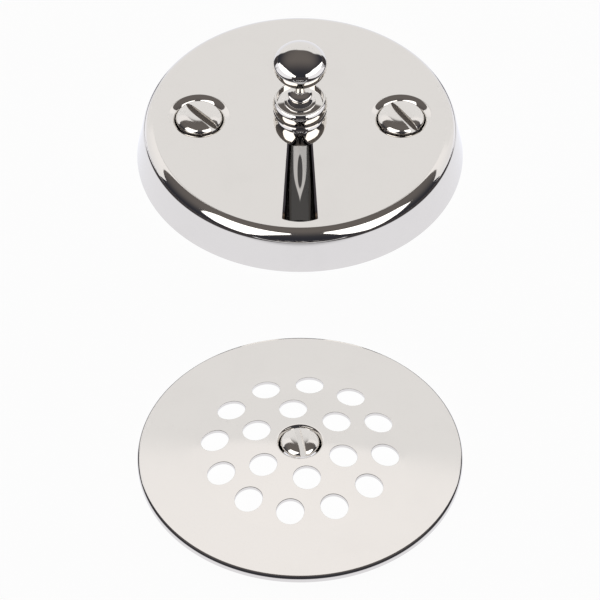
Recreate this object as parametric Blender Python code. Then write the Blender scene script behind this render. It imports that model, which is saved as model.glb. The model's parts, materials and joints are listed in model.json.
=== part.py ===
"""Trip lever bath drain: an overflow face plate with its lever, and the bath strainer beside it.

X is to the right, Y up the bath wall and Z out of it. The origin is the centre of the face
plate's seat, on the wall. Both plates seat on the plane z = 0. Lengths are in metres.
"""

import math

import bmesh
import bpy
from mathutils import Matrix, Vector

MM = 0.001

# Clearances and shared values
SEAT_GAP = 0.3 * MM        # between two pieces that rest on each other
PIN_CLEARANCE = 0.08 * MM  # round the pivot pin
OVERRUN = 1.0 * MM         # how far a cutter reaches past the face that it cuts
SEAT_ANGLE = math.radians(41)  # half angle of every countersunk head and seat
WELD = MM / 10000          # points closer than this are one point

# Face plate, a spun cap
FACE_RADIUS = 39.7 * MM
FACE_HEIGHT = 10.85 * MM
FACE_SHOULDER = 3.0 * MM
FACE_WALL = 1.2 * MM
FACE_FLARE = math.radians(10.5)

# Knob axis and the tapered slot under it, measured at the outer edge of its rounded lip
SLOT_END_MARGIN = 6.3 * MM  # from the slot's lower end to the plate's edge
SLOT_LIP = 0.15 * MM
SLOT_TOP_HALF = 3.13 * MM
SLOT_END_HALF = 4.45 * MM
SLOT_LENGTH = 28.4 * MM
SLOT_END_RADIUS = 10.0 * MM

# Face screws
FACE_SCREW_INSET = 15.15 * MM  # from the plate's edge in to each screw
FACE_SCREW_RISE = 2.1 * MM
FACE_SCREW_HEAD = 5.65 * MM
FACE_SCREW_SHANK = 2.95 * MM
FACE_SCREW_LENGTH = 25.0 * MM
FACE_SCREW_SINK = 0.5 * MM
FACE_SCREW_OVAL = 1.5 * MM
FACE_SCREW_SLOT = 1.8 * MM
FACE_SCREW_CUT = 1.4 * MM
FACE_SEAT_ROUND = 2.9 * MM
LEFT_SCREW_TURN = math.radians(-46.7)
RIGHT_SCREW_TURN = math.radians(-55.3)

# Strainer
STRAINER_DISTANCE = 100.5 * MM
STRAINER_RADIUS = 38.1 * MM
STRAINER_SHEET = 0.9 * MM
STRAINER_EDGE = 1.85 * MM
STRAINER_EDGE_ROUND = 1.0 * MM
STRAINER_CREASE_RADIUS = 24.8 * MM
STRAINER_CREASE_HEIGHT = 3.13 * MM
STRAINER_DOME = 86.7 * MM
STRAINER_HOLE = 3.25 * MM
OUTER_RING_RADIUS = 20.05 * MM
OUTER_RING_HOLES = 12
OUTER_RING_START = math.radians(83.5)
INNER_RING_RADIUS = 10.93 * MM
INNER_RING_HOLES = 6
INNER_RING_START = math.radians(98.4)

# Strainer screw
STRAINER_SCREW_HEAD = 4.55 * MM
STRAINER_SCREW_SHANK = 2.4 * MM
STRAINER_SCREW_LENGTH = 22.0 * MM
STRAINER_SCREW_SINK = 0.5 * MM
STRAINER_SCREW_OVAL = 1.4 * MM
STRAINER_SCREW_SLOT = 1.35 * MM
STRAINER_SCREW_CUT = 1.3 * MM
STRAINER_SEAT_ROUND = 0.5 * MM
STRAINER_SCREW_TURN = math.radians(-79.3)

# Lever arm
ARM_LENGTH = 23.1 * MM     # from the knob's axis down to the pivot
PIVOT_DEPTH = 6.7 * MM     # from the plate's face in to the pivot
ARM_DEPTH = 3.4 * MM
ARM_TOP_CROWN = 3.0 * MM   # radius of the bar's rounded top at the knob
ARM_END_CROWN = 4.8 * MM   # and at its lower end
ARM_DROP = 1.2 * MM        # how far the bar's top falls from the knob to the pivot
ARM_PAST_PIVOT = 3.2 * MM
ARM_END_HALF = 3.88 * MM
HUB_RADIUS = 3.7 * MM
HUB_HALF = 3.3 * MM
HUB_BEVEL = 0.4 * MM
TAIL_LENGTH = 34.0 * MM
TAIL_HALF = 2.0 * MM
TAIL_THICKNESS = 2.8 * MM
TAIL_ANGLE = math.radians(65)
EYE_RADIUS = 3.0 * MM
EYE_HOLE = 1.5 * MM

# Knob, its collar and the stud that holds both; heights are above the plate's face
STUD_RADIUS = 1.25 * MM
STUD_DEPTH = 2.8 * MM
STUD_REACH = 13.3 * MM
RING_RADIUS = 3.2 * MM
RING_BEVEL = 0.2 * MM
BOWL_RADIUS = 6.5 * MM
BOWL_CENTRE = 6.2 * MM
LIP_HEIGHT = 9.45 * MM
LIP_RADIUS = 6.45 * MM
LIP_THICKNESS = 0.25 * MM
BAND_FOOT_RADIUS = 6.2 * MM
BAND_BULGE = 0.4 * MM
RIM_HEIGHT = 13.5 * MM
RIM_ROUND = 0.25 * MM
DISH_RADIUS = 5.7 * MM
DISH_HEIGHT = 11.5 * MM
FOOT_RADIUS = 5.4 * MM
FOOT_EDGE = 0.15 * MM
TIER_RADIUS = 3.8 * MM
TIER_HEIGHT = 12.3 * MM
TIER_RISE = 0.6 * MM
WAIST_RADIUS = 3.0 * MM
BEAD_RADIUS = 3.0 * MM
BEAD_INNER = 1.3 * MM
BEAD_HEIGHT = 14.8 * MM
BEAD_RISE = 1.2 * MM
BEAD_START = math.radians(-60)
NECK_RADIUS = 1.1 * MM
NECK_HEIGHT = 18.0 * MM
BALL_HEIGHT = 24.95 * MM
BALL_RADIUS = 6.5 * MM
BALL_HALF_HEIGHT = 5.2 * MM

# Pivot bracket and what fastens it
BRACKET_SHEET = 1.2 * MM
BRACKET_HALF = 11.5 * MM
BRACKET_BRIDGE = 7.3 * MM
BRACKET_CORNER = 2.0 * MM
EAR_RADIUS = 3.6 * MM
WASHER_THICKNESS = 0.5 * MM
WASHER_RADIUS = 3.3 * MM
PIN_RADIUS = 1.5 * MM
PIN_HEAD_RADIUS = 2.5 * MM
PIN_HEAD = 1.0 * MM
CLIP_THICKNESS = 0.6 * MM
CLIP_RADIUS = 2.9 * MM
CLIP_GROOVE = 1.0 * MM
CLIP_MOUTH = 1.6 * MM
PIN_END = 0.8 * MM
POST_RADIUS = 1.5 * MM
POST_LENGTH = 5.6 * MM
POST_DROP = 12.0 * MM
LOCK_WASHER = 0.6 * MM
LOCK_WASHER_RADIUS = 3.1 * MM
LOCK_WASHER_SPLIT = 0.6 * MM
NUT_HALF_FLATS = 2.75 * MM
NUT_THICKNESS = 2.4 * MM
NUT_BEVEL = 0.25 * MM

# Friction spring and its rivet
SPRING_SHEET = 0.6 * MM
SPRING_HALF = 2.4 * MM
RIVET_RADIUS = 1.2 * MM
RIVET_FLUSH_HEAD = 2.0 * MM
RIVET_HEAD = 2.0 * MM
RIVET_HEAD_RISE = 0.8 * MM

# Cotter in the tail's eye
COTTER_RADIUS = 1.2 * MM
COTTER_WIRE = 0.6 * MM
COTTER_LOOP = 1.5 * MM
COTTER_END = 2.2 * MM

# Steps round each turned piece
PLATE_STEPS = 80
STRAINER_STEPS = 60
KNOB_STEPS = 28
SCREW_STEPS = 24
SMALL_STEPS = 20
HOLE_STEPS = 14
ARM_END_TURNS = (78, 55, 35, 17)  # degrees round the arm's end at which it has a section
ARM_SECTIONS = 8
ARM_CROWN_STEPS = 8
CROWN_STEPS = 6
BALL_STEPS = 12
CROWN_STEPS = 6
BEAD_STEPS = 5
NECK_STEPS = 4

# Places that follow from the sizes above
FACE_INSIDE = FACE_HEIGHT - FACE_WALL
FACE_SCREW_X = FACE_RADIUS - FACE_SCREW_INSET
KNOB_Y = SLOT_LENGTH + SLOT_END_MARGIN - FACE_RADIUS
PIVOT_Y = KNOB_Y - ARM_LENGTH
PIVOT_Z = FACE_HEIGHT - PIVOT_DEPTH
SLOT_THROUGH_TOP = SLOT_TOP_HALF - SLOT_LIP
ARM_TOP_HALF = SLOT_THROUGH_TOP - SEAT_GAP
ARM_WHOLE = ARM_LENGTH + ARM_PAST_PIVOT
ARM_LOW_HALF = HUB_HALF - HUB_BEVEL
EAR_INSIDE = HUB_HALF + WASHER_THICKNESS + 2 * SEAT_GAP
EAR_OUTSIDE = EAR_INSIDE + BRACKET_SHEET
WEB_TOP = FACE_INSIDE - SEAT_GAP
WEB_BOTTOM = WEB_TOP - BRACKET_SHEET
WINDOW_TOP = KNOB_Y + SLOT_TOP_HALF
WEB_END = WINDOW_TOP + BRACKET_BRIDGE
WEB_START = PIVOT_Y - EAR_RADIUS
POST_X = (EAR_INSIDE + BRACKET_HALF) / 2
POST_Y = -POST_DROP
SPRING_TOP = WEB_BOTTOM - SEAT_GAP
RIVET_Y = (WINDOW_TOP + WEB_END) / 2
STRAINER_SKIRT = STRAINER_RADIUS - STRAINER_EDGE_ROUND


def clear_scene():
    """Removes every object, so that the script gives the same model each time."""
    for old in list(bpy.data.objects):
        bpy.data.objects.remove(old, do_unlink=True)


def finish_material(name, colour, roughness, metallic=1.0):
    """A Principled material with one colour."""
    material = bpy.data.materials.new(name)
    material.use_nodes = True
    shader = material.node_tree.nodes["Principled BSDF"]
    shader.inputs["Base Color"].default_value = (*colour, 1.0)
    shader.inputs["Roughness"].default_value = roughness
    shader.inputs["Metallic"].default_value = metallic
    return material


def make_object(name, bm):
    """An object from a bmesh, with its faces turned outwards."""
    bmesh.ops.recalc_face_normals(bm, faces=bm.faces[:])
    mesh = bpy.data.meshes.new(name)
    bm.to_mesh(mesh)
    bm.free()
    made = bpy.data.objects.new(name, mesh)
    bpy.context.scene.collection.objects.link(made)
    return made


def turned(name, profile, steps, closed=True):
    """A solid turned about Z from (radius, height) points; a closed profile joins its two ends."""
    bm = bmesh.new()
    points = [bm.verts.new((radius, 0, height)) for radius, height in profile]
    pairs = list(zip(points, points[1:]))
    if closed:
        pairs.append((points[-1], points[0]))
    edges = [bm.edges.new(pair) for pair in pairs]
    bmesh.ops.spin(bm, geom=points + edges, cent=(0, 0, 0), axis=(0, 0, 1), angle=math.tau,
                   steps=steps, use_merge=True)
    bmesh.ops.remove_doubles(bm, verts=bm.verts[:], dist=WELD)
    return make_object(name, bm)


def disc(name, radius, bottom, top, steps, bevel=0.0):
    """A turned cylinder between two heights, its edges bevelled where a bevel is given."""
    if bevel:
        profile = [(0, top), (radius - bevel, top), (radius, top - bevel),
                   (radius, bottom + bevel), (radius - bevel, bottom), (0, bottom)]
    else:
        profile = [(0, top), (radius, top), (radius, bottom), (0, bottom)]
    return turned(name, profile, steps, closed=False)


def washer(name, inner, outer, bottom, top, steps):
    """A flat ring between two heights."""
    return turned(name, [(inner, top), (outer, top), (outer, bottom), (inner, bottom)], steps)


def loft(name, rings):
    """A closed solid through rings of points, which all have the same count."""
    bm = bmesh.new()
    loops = [[bm.verts.new(point) for point in ring] for ring in rings]
    count = len(loops[0])
    for first, second in zip(loops, loops[1:]):
        for i in range(count):
            j = (i + 1) % count
            bm.faces.new((first[i], first[j], second[j], second[i]))
    bm.faces.new(loops[0])
    bm.faces.new(loops[-1])
    return make_object(name, bm)


def prism(name, outline, low, high):
    """A flat outline in X and Y carried from one height to another."""
    return loft(name, [[(x, y, z) for x, y in outline] for z in (low, high)])


def side_prism(name, outline, half):
    """A flat outline in Y and Z carried from -half to half along X."""
    return loft(name, [[(x, y, z) for y, z in outline] for x in (-half, half)])


def arc(centre, radius, start, end, steps):
    """Points on an arc from one angle to another, both ends included."""
    turns = [start + (end - start) * i / steps for i in range(steps + 1)]
    return [(centre[0] + radius * math.cos(a), centre[1] + radius * math.sin(a)) for a in turns]


def place(made, location=(0, 0, 0), rotation=(0, 0, 0)):
    """Moves a piece's points, so that its own origin stays on its parent's."""
    turn = Matrix.LocRotScale(Vector(location), Matrix.Rotation(rotation[2], 3, "Z")
                              @ Matrix.Rotation(rotation[1], 3, "Y")
                              @ Matrix.Rotation(rotation[0], 3, "X"), None)
    made.data.transform(turn)
    return made


def combine(target, other, operation):
    """Joins, cuts or meets target with other, and removes other."""
    modifier = target.modifiers.new(operation.lower(), "BOOLEAN")
    modifier.operation = operation
    modifier.solver = "EXACT"
    modifier.object = other
    bpy.context.view_layer.update()
    result = target.evaluated_get(bpy.context.evaluated_depsgraph_get())
    mesh = bpy.data.meshes.new_from_object(result)
    target.modifiers.clear()
    old = target.data
    target.data = mesh
    mesh.name = target.name
    bpy.data.meshes.remove(old)
    bpy.data.objects.remove(other, do_unlink=True)
    return target


def join(target, *others):
    """Target united with each of the others."""
    for other in others:
        combine(target, other, "UNION")
    return target


def cut(target, *others):
    """Target with each of the others taken away."""
    for other in others:
        combine(target, other, "DIFFERENCE")
    return target


def finish(made, name, parent, location, material):
    """Names a piece, hangs it on its parent, smooths its round faces and gives it its material."""
    made.name = name
    made.data.name = name
    made.parent = parent
    made.location = location
    made.data.materials.clear()
    made.data.materials.append(material)
    made.data.shade_smooth()
    made.data.set_sharp_from_angle(angle=math.radians(35))
    return made


def anchor(name, location):
    """An empty that carries the pieces of one group."""
    empty = bpy.data.objects.new(name, None)
    empty.location = location
    bpy.context.scene.collection.objects.link(empty)
    return empty


def seat_gap_sideways():
    """How far a conical seat stands from its head sideways for a gap of SEAT_GAP square to it."""
    return SEAT_GAP / math.cos(SEAT_ANGLE)


def seat_sizes(head, shank, sink):
    """A seat's radius at its head's rim, its bore, and the depth at which its cone ends."""
    rim = head + seat_gap_sideways()
    bore = shank + SEAT_GAP
    return rim, bore, sink + (rim - bore) / math.tan(SEAT_ANGLE)


def seat_cutter(head, shank, sink, roll, thread_length):
    """The space of a pressed seat, rolled over at its mouth, and its bore; z = 0 is the mouth."""
    rim, bore, cone_end = seat_sizes(head, shank, sink)
    mouth = rim + sink * math.tan(SEAT_ANGLE) + roll * math.tan((math.pi / 2 - SEAT_ANGLE) / 2)
    rolled = arc((mouth, -roll), roll, math.pi / 2, math.pi - SEAT_ANGLE, 4)
    profile = [(0, OVERRUN), (mouth, OVERRUN)] + rolled
    profile += [(bore, -cone_end), (bore, -thread_length), (0, -thread_length)]
    return turned("seat_cutter", profile, SCREW_STEPS, closed=False)


def seat_cup(head, shank, sink, wall):
    """The pressed cup of sheet round a countersunk seat; z = 0 is the mouth."""
    rim, bore, cone_end = seat_sizes(head, shank, sink)
    outside = wall / math.cos(SEAT_ANGLE)
    top = rim + outside + (sink - wall / 2) * math.tan(SEAT_ANGLE)
    profile = [(0, -wall / 2), (top, -wall / 2), (bore + outside, -cone_end), (0, -cone_end)]
    return turned("seat_cup", profile, SCREW_STEPS, closed=False)


def oval_screw(head, shank, length, oval, slot, slot_depth):
    """A slotted oval head screw; z = 0 is the rim of its head."""
    crown = [(x, z) for x, z in reversed(swell(0, head, 0, oval, 0, CROWN_STEPS))]
    crown[0] = (0, oval)
    neck = (head - shank) / math.tan(SEAT_ANGLE)
    tip = shank / 2
    profile = crown + [(shank, -neck), (shank, tip - length), (shank - tip, -length), (0, -length)]
    screw = turned("screw", profile, SCREW_STEPS, closed=False)
    groove = prism("groove", [(-head - OVERRUN, -slot / 2), (head + OVERRUN, -slot / 2),
                              (head + OVERRUN, slot / 2), (-head - OVERRUN, slot / 2)],
                   oval - slot_depth, oval + OVERRUN)
    return cut(screw, groove)


def face_shell():
    """The spun cap: flat top, round shoulder and flared skirt, one wall thick."""
    centre_z = FACE_HEIGHT - FACE_SHOULDER
    lean = math.tan(FACE_FLARE)
    centre_r = FACE_RADIUS - (FACE_SHOULDER / math.cos(FACE_FLARE) + centre_z * lean)
    inner_round = FACE_SHOULDER - FACE_WALL
    inner_base = FACE_RADIUS - FACE_WALL / math.cos(FACE_FLARE)
    outer = arc((centre_r, centre_z), FACE_SHOULDER, math.pi / 2, FACE_FLARE, 6)
    inner = arc((centre_r, centre_z), inner_round, FACE_FLARE, math.pi / 2, 4)
    profile = [(0, FACE_HEIGHT)] + outer + [(FACE_RADIUS, 0), (inner_base, 0)] + inner
    profile.append((0, FACE_INSIDE))
    return turned("face_shell", profile, PLATE_STEPS, closed=False)


def slot_outline(growth):
    """The slot's outline about the knob's axis, its through size grown by a distance."""
    top = SLOT_THROUGH_TOP + growth
    end = SLOT_END_HALF - SLOT_LIP + growth
    radius = SLOT_END_RADIUS - SLOT_LIP + growth
    reach = SLOT_LENGTH - SLOT_LIP + growth
    sweep = math.asin(end / radius)
    down = -math.pi / 2
    return arc((0, 0), top, 0, math.pi, 10) + arc((0, radius - reach), radius,
                                                  down - sweep, down + sweep, 6)


def slot_cutter():
    """The tapered slot with its rounded lip; z = 0 is the plate's face."""
    rings = [(0.0, -FACE_WALL - OVERRUN)]
    for turn in (0, math.pi / 4, math.pi / 2):
        rings.append((SLOT_LIP * (1 - math.cos(turn)), SLOT_LIP * (math.sin(turn) - 1)))
    rings.append((SLOT_LIP, OVERRUN))
    return loft("slot_cutter", [[(x, y, z) for x, y in slot_outline(growth)]
                                for growth, z in rings])


def face_plate(parent, material):
    """The face plate with its two screw seats, its slot and the bracket's two welded posts."""
    plate = face_shell()
    for side in (-1, 1):
        at = (side * FACE_SCREW_X, FACE_SCREW_RISE, FACE_HEIGHT)
        join(plate, place(seat_cup(FACE_SCREW_HEAD, FACE_SCREW_SHANK, FACE_SCREW_SINK, FACE_WALL), at))
        post = disc("post", POST_RADIUS, -POST_LENGTH, FACE_WALL / 2, SMALL_STEPS)
        join(plate, place(post, (side * POST_X, POST_Y, FACE_INSIDE)))
    for side in (-1, 1):
        at = (side * FACE_SCREW_X, FACE_SCREW_RISE, FACE_HEIGHT)
        cut(plate, place(seat_cutter(FACE_SCREW_HEAD, FACE_SCREW_SHANK, FACE_SCREW_SINK,
                                     FACE_SEAT_ROUND, FACE_HEIGHT), at))
    cut(plate, place(slot_cutter(), (0, KNOB_Y, FACE_HEIGHT)))
    finish(plate, "face_plate", parent, (0, 0, 0), material)


def face_screws(parent, material):
    """The two oval head screws of the face plate, each with its slot turned as it was left."""
    for name, side, turn in (("face_screw_left", -1, LEFT_SCREW_TURN),
                             ("face_screw_right", 1, RIGHT_SCREW_TURN)):
        screw = oval_screw(FACE_SCREW_HEAD, FACE_SCREW_SHANK, FACE_SCREW_LENGTH, FACE_SCREW_OVAL,
                           FACE_SCREW_SLOT, FACE_SCREW_CUT)
        at = (side * FACE_SCREW_X, FACE_SCREW_RISE, FACE_HEIGHT - FACE_SCREW_SINK)
        finish(screw, name, parent, at, material)
        screw.rotation_euler = (0, 0, turn)


def dome_height(radius):
    """Height of the strainer's upper face above its seat, inside the crease."""
    rise = math.sqrt(STRAINER_DOME ** 2 - radius ** 2)
    return STRAINER_CREASE_HEIGHT + rise - math.sqrt(STRAINER_DOME ** 2 - STRAINER_CREASE_RADIUS ** 2)


def strainer_shell():
    """The pressed sheet: short skirt, round edge, sloping flange and a shallow dome."""
    steps = 5
    dome = [STRAINER_CREASE_RADIUS * i / steps for i in range(steps + 1)]
    edge = arc((STRAINER_SKIRT, STRAINER_EDGE - STRAINER_EDGE_ROUND), STRAINER_EDGE_ROUND,
               math.pi / 2, 0, 4)
    inside = STRAINER_RADIUS - STRAINER_SHEET
    profile = [(r, dome_height(r)) for r in dome] + edge
    profile += [(STRAINER_RADIUS, 0), (inside, 0), (inside, STRAINER_EDGE - STRAINER_SHEET)]
    profile += [(r, dome_height(r) - STRAINER_SHEET) for r in reversed(dome)]
    return turned("strainer_shell", profile, STRAINER_STEPS, closed=False)


def strainer_plate(parent, material):
    """The strainer with its screw seat and its two rings of holes."""
    plate = strainer_shell()
    mouth = (0, 0, dome_height(STRAINER_SCREW_HEAD))
    join(plate, place(seat_cup(STRAINER_SCREW_HEAD, STRAINER_SCREW_SHANK, STRAINER_SCREW_SINK,
                               STRAINER_SHEET), mouth))
    cut(plate, place(seat_cutter(STRAINER_SCREW_HEAD, STRAINER_SCREW_SHANK, STRAINER_SCREW_SINK,
                                 STRAINER_SEAT_ROUND, dome_height(0)), mouth))
    rings = ((OUTER_RING_RADIUS, OUTER_RING_HOLES, OUTER_RING_START),
             (INNER_RING_RADIUS, INNER_RING_HOLES, INNER_RING_START))
    for radius, count, start in rings:
        for i in range(count):
            turn = start - math.tau * i / count
            drill = disc("drill", STRAINER_HOLE, -OVERRUN, dome_height(0) + OVERRUN, HOLE_STEPS)
            cut(plate, place(drill, (radius * math.cos(turn), radius * math.sin(turn), 0)))
    finish(plate, "strainer_plate", parent, (0, 0, 0), material)


def strainer_screw(parent, material):
    """The strainer's one oval head screw."""
    screw = oval_screw(STRAINER_SCREW_HEAD, STRAINER_SCREW_SHANK, STRAINER_SCREW_LENGTH,
                       STRAINER_SCREW_OVAL, STRAINER_SCREW_SLOT, STRAINER_SCREW_CUT)
    at = (0, 0, dome_height(STRAINER_SCREW_HEAD) - STRAINER_SCREW_SINK)
    finish(screw, "strainer_screw", parent, at, material)
    screw.rotation_euler = (0, 0, STRAINER_SCREW_TURN)


def arm_section(along, half):
    """One section of the arm, square to Y; along is the distance from the knob towards the pivot."""
    inward = max(along, 0)
    crown = FACE_HEIGHT - PIVOT_Z - ARM_DROP * (inward / ARM_LENGTH) ** 2
    radius = ARM_TOP_CROWN + (ARM_END_CROWN - ARM_TOP_CROWN) * inward / ARM_WHOLE
    sweep = math.asin(half / radius)
    upper = arc((0, crown - radius), radius, math.pi / 2 - sweep, math.pi / 2 + sweep, ARM_CROWN_STEPS)
    low = min(half, ARM_LOW_HALF)
    y = ARM_LENGTH - along
    bottom = PIVOT_DEPTH - ARM_DEPTH
    return [(-low, y, bottom), (low, y, bottom)] + [(x, y, z) for x, z in upper]


def arm_bar():
    """The half-round bar that fills the slot: round at the knob, wider and flatter at its lower end."""
    sections = []
    for angle in [math.radians(turn) for turn in ARM_END_TURNS]:
        sections.append(arm_section(-ARM_TOP_HALF * math.sin(angle), ARM_TOP_HALF * math.cos(angle)))
    for i in range(ARM_SECTIONS + 1):
        share = i / ARM_SECTIONS
        half = ARM_TOP_HALF + (ARM_END_HALF - ARM_TOP_HALF) * share
        sections.append(arm_section(ARM_WHOLE * share, half))
    return loft("arm_bar", sections)


def cross_cylinder(name, radius, low, high, y, z, steps, bevel=0.0):
    """A cylinder along X."""
    return place(disc(name, radius, low, high, steps, bevel), (0, y, z), (0, math.pi / 2, 0))


def lever_arm(parent, material):
    """The cast lever: bar, hub on the pivot pin, and the tail that lifts the linkage."""
    arm = arm_bar()
    join(arm, cross_cylinder("hub", HUB_RADIUS, -HUB_HALF, HUB_HALF, 0, 0, SMALL_STEPS, HUB_BEVEL))
    along = Vector((math.cos(TAIL_ANGLE), -math.sin(TAIL_ANGLE)))
    across = Vector((math.sin(TAIL_ANGLE), math.cos(TAIL_ANGLE))) * TAIL_THICKNESS / 2
    root = along * HUB_RADIUS / 2
    end = along * TAIL_LENGTH
    open_half = math.pi - math.asin(TAIL_THICKNESS / 2 / EYE_RADIUS)
    outline = [(root + across)[:], (root - across)[:]]
    outline += arc(end, EYE_RADIUS, -TAIL_ANGLE - open_half, -TAIL_ANGLE + open_half, 14)
    join(arm, side_prism("tail", outline, TAIL_HALF))
    reach = HUB_HALF + OVERRUN
    cut(arm, cross_cylinder("bore", PIN_RADIUS + PIN_CLEARANCE, -reach, reach, 0, 0, SMALL_STEPS))
    cut(arm, cross_cylinder("eye_bore", EYE_HOLE, -reach, reach, end.x, end.y, SMALL_STEPS))
    tap = disc("tap", STUD_RADIUS + SEAT_GAP, -STUD_DEPTH, OVERRUN, SMALL_STEPS)
    cut(arm, place(tap, (0, ARM_LENGTH, PIVOT_DEPTH)))
    finish(arm, "lever_arm", parent, (0, 0, 0), material)


def knob_stud(parent, at, material):
    """The stud that clamps the collar between the arm and the knob."""
    stud = disc("stud", STUD_RADIUS, SEAT_GAP - STUD_DEPTH, STUD_REACH, SMALL_STEPS, RING_BEVEL)
    finish(stud, "knob_stud", parent, at, material)


def knob_collar(parent, at, material):
    """The collar under the knob: ring, bowl, lip, rounded band and a dished top."""
    bore = STUD_RADIUS + SEAT_GAP
    start = math.asin(RING_RADIUS / BOWL_RADIUS) - math.pi / 2
    stop = math.asin((LIP_HEIGHT - BOWL_CENTRE) / BOWL_RADIUS)
    band_foot = LIP_HEIGHT + 2 * LIP_THICKNESS
    band_half = (RIM_HEIGHT - RIM_ROUND - band_foot) / 2
    band_radius = (band_half ** 2 + BAND_BULGE ** 2) / (2 * BAND_BULGE)
    sweep = math.asin(band_half / band_radius)
    band_centre = (BAND_FOOT_RADIUS + BAND_BULGE - band_radius, band_foot + band_half)
    profile = [(bore, SEAT_GAP), (RING_RADIUS - RING_BEVEL, SEAT_GAP),
               (RING_RADIUS, SEAT_GAP + RING_BEVEL)]
    profile += arc((0, BOWL_CENTRE), BOWL_RADIUS, start, stop, 8)
    profile += [(LIP_RADIUS, LIP_HEIGHT), (LIP_RADIUS, LIP_HEIGHT + LIP_THICKNESS)]
    profile += arc(band_centre, band_radius, -sweep, sweep, 4)
    rim = BAND_FOOT_RADIUS - RIM_ROUND
    profile += [(rim, RIM_HEIGHT), ((rim + DISH_RADIUS) / 2, RIM_HEIGHT)]
    profile += [(DISH_RADIUS, RIM_HEIGHT - RIM_ROUND), (DISH_RADIUS, DISH_HEIGHT), (bore, DISH_HEIGHT)]
    collar = turned("collar", profile, KNOB_STEPS)
    finish(collar, "knob_collar", parent, at, material)


def knob(parent, at, material):
    """The knob: sloping foot with a tier, bead, thin neck and an oblate ball, with a blind stud hole."""
    bore = STUD_RADIUS + SEAT_GAP
    foot = DISH_HEIGHT + SEAT_GAP
    hole_top = STUD_REACH + SEAT_GAP
    profile = [(0, hole_top), (bore, hole_top), (bore, foot), (FOOT_RADIUS, foot),
               (FOOT_RADIUS, foot + FOOT_EDGE)]
    profile += swell(WAIST_RADIUS, TIER_RADIUS, TIER_HEIGHT, TIER_RISE, 0, BEAD_STEPS)
    profile += swell(BEAD_INNER, BEAD_RADIUS, BEAD_HEIGHT, BEAD_RISE, BEAD_START, BEAD_STEPS)
    profile += cove((BEAD_INNER, BEAD_HEIGHT + BEAD_RISE), (NECK_RADIUS, NECK_HEIGHT), NECK_STEPS)
    start = -math.acos(NECK_RADIUS / BALL_RADIUS)
    profile += swell(0, BALL_RADIUS, BALL_HEIGHT, BALL_HALF_HEIGHT, start, BALL_STEPS)
    profile[-1] = (0, BALL_HEIGHT + BALL_HALF_HEIGHT)
    finish(turned("knob", profile, KNOB_STEPS, closed=False), "knob", parent, at, material)


def swell(inner, outer, height, rise, start, steps):
    """Points of an ellipse's section from an angle up to its top, outer - inner wide and rise high."""
    points = []
    for i in range(steps + 1):
        turn = start + (math.pi / 2 - start) * i / steps
        points.append((inner + (outer - inner) * math.cos(turn), height + rise * math.sin(turn)))
    return points


def cove(start, end, steps):
    """Points of a hollow quarter curve that leaves start level and reaches end upright."""
    points = []
    for i in range(1, steps + 1):
        turn = math.pi / 2 * i / steps
        points.append((start[0] + (end[0] - start[0]) * math.sin(turn),
                       start[1] + (end[1] - start[1]) * (1 - math.cos(turn))))
    return points


def pivot_bracket(parent, material):
    """The bent sheet behind the plate: two legs, a bridge above the slot and two ears."""
    inner = EAR_INSIDE
    outline = [(-BRACKET_HALF, WEB_START + BRACKET_CORNER), (-BRACKET_HALF + BRACKET_CORNER, WEB_START),
               (-inner, WEB_START), (-inner, WINDOW_TOP), (inner, WINDOW_TOP), (inner, WEB_START),
               (BRACKET_HALF - BRACKET_CORNER, WEB_START), (BRACKET_HALF, WEB_START + BRACKET_CORNER),
               (BRACKET_HALF, WEB_END - BRACKET_CORNER), (BRACKET_HALF - BRACKET_CORNER, WEB_END),
               (-BRACKET_HALF + BRACKET_CORNER, WEB_END), (-BRACKET_HALF, WEB_END - BRACKET_CORNER)]
    bracket = prism("web", outline, WEB_BOTTOM, WEB_TOP)
    bore = PIN_RADIUS + PIN_CLEARANCE
    top = WEB_TOP - BRACKET_SHEET / 2
    for side in (-1, 1):
        shape = arc((PIVOT_Y, PIVOT_Z), EAR_RADIUS, -math.pi, 0, 10)
        shape += [(PIVOT_Y + EAR_RADIUS, top), (PIVOT_Y - EAR_RADIUS, top)]
        ear = side_prism("ear", shape, BRACKET_SHEET / 2)
        join(bracket, place(ear, (side * (EAR_INSIDE + EAR_OUTSIDE) / 2, 0, 0)))
        hole = disc("post_hole", POST_RADIUS + SEAT_GAP, WEB_BOTTOM - OVERRUN, WEB_TOP + OVERRUN,
                    SMALL_STEPS)
        cut(bracket, place(hole, (side * POST_X, POST_Y, 0)))
    reach = EAR_OUTSIDE + OVERRUN
    cut(bracket, cross_cylinder("pin_hole", bore, -reach, reach, PIVOT_Y, PIVOT_Z, SMALL_STEPS))
    sunk = RIVET_FLUSH_HEAD + SEAT_GAP
    narrow = RIVET_RADIUS + SEAT_GAP
    seat = turned("rivet_seat", [(0, WEB_TOP + OVERRUN), (sunk, WEB_TOP + OVERRUN), (sunk, WEB_TOP),
                                 (narrow, WEB_TOP - sunk + narrow), (narrow, WEB_BOTTOM - OVERRUN),
                                 (0, WEB_BOTTOM - OVERRUN)], SMALL_STEPS, closed=False)
    cut(bracket, place(seat, (0, RIVET_Y, 0)))
    finish(bracket, "pivot_bracket", parent, (0, 0, 0), material)


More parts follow.
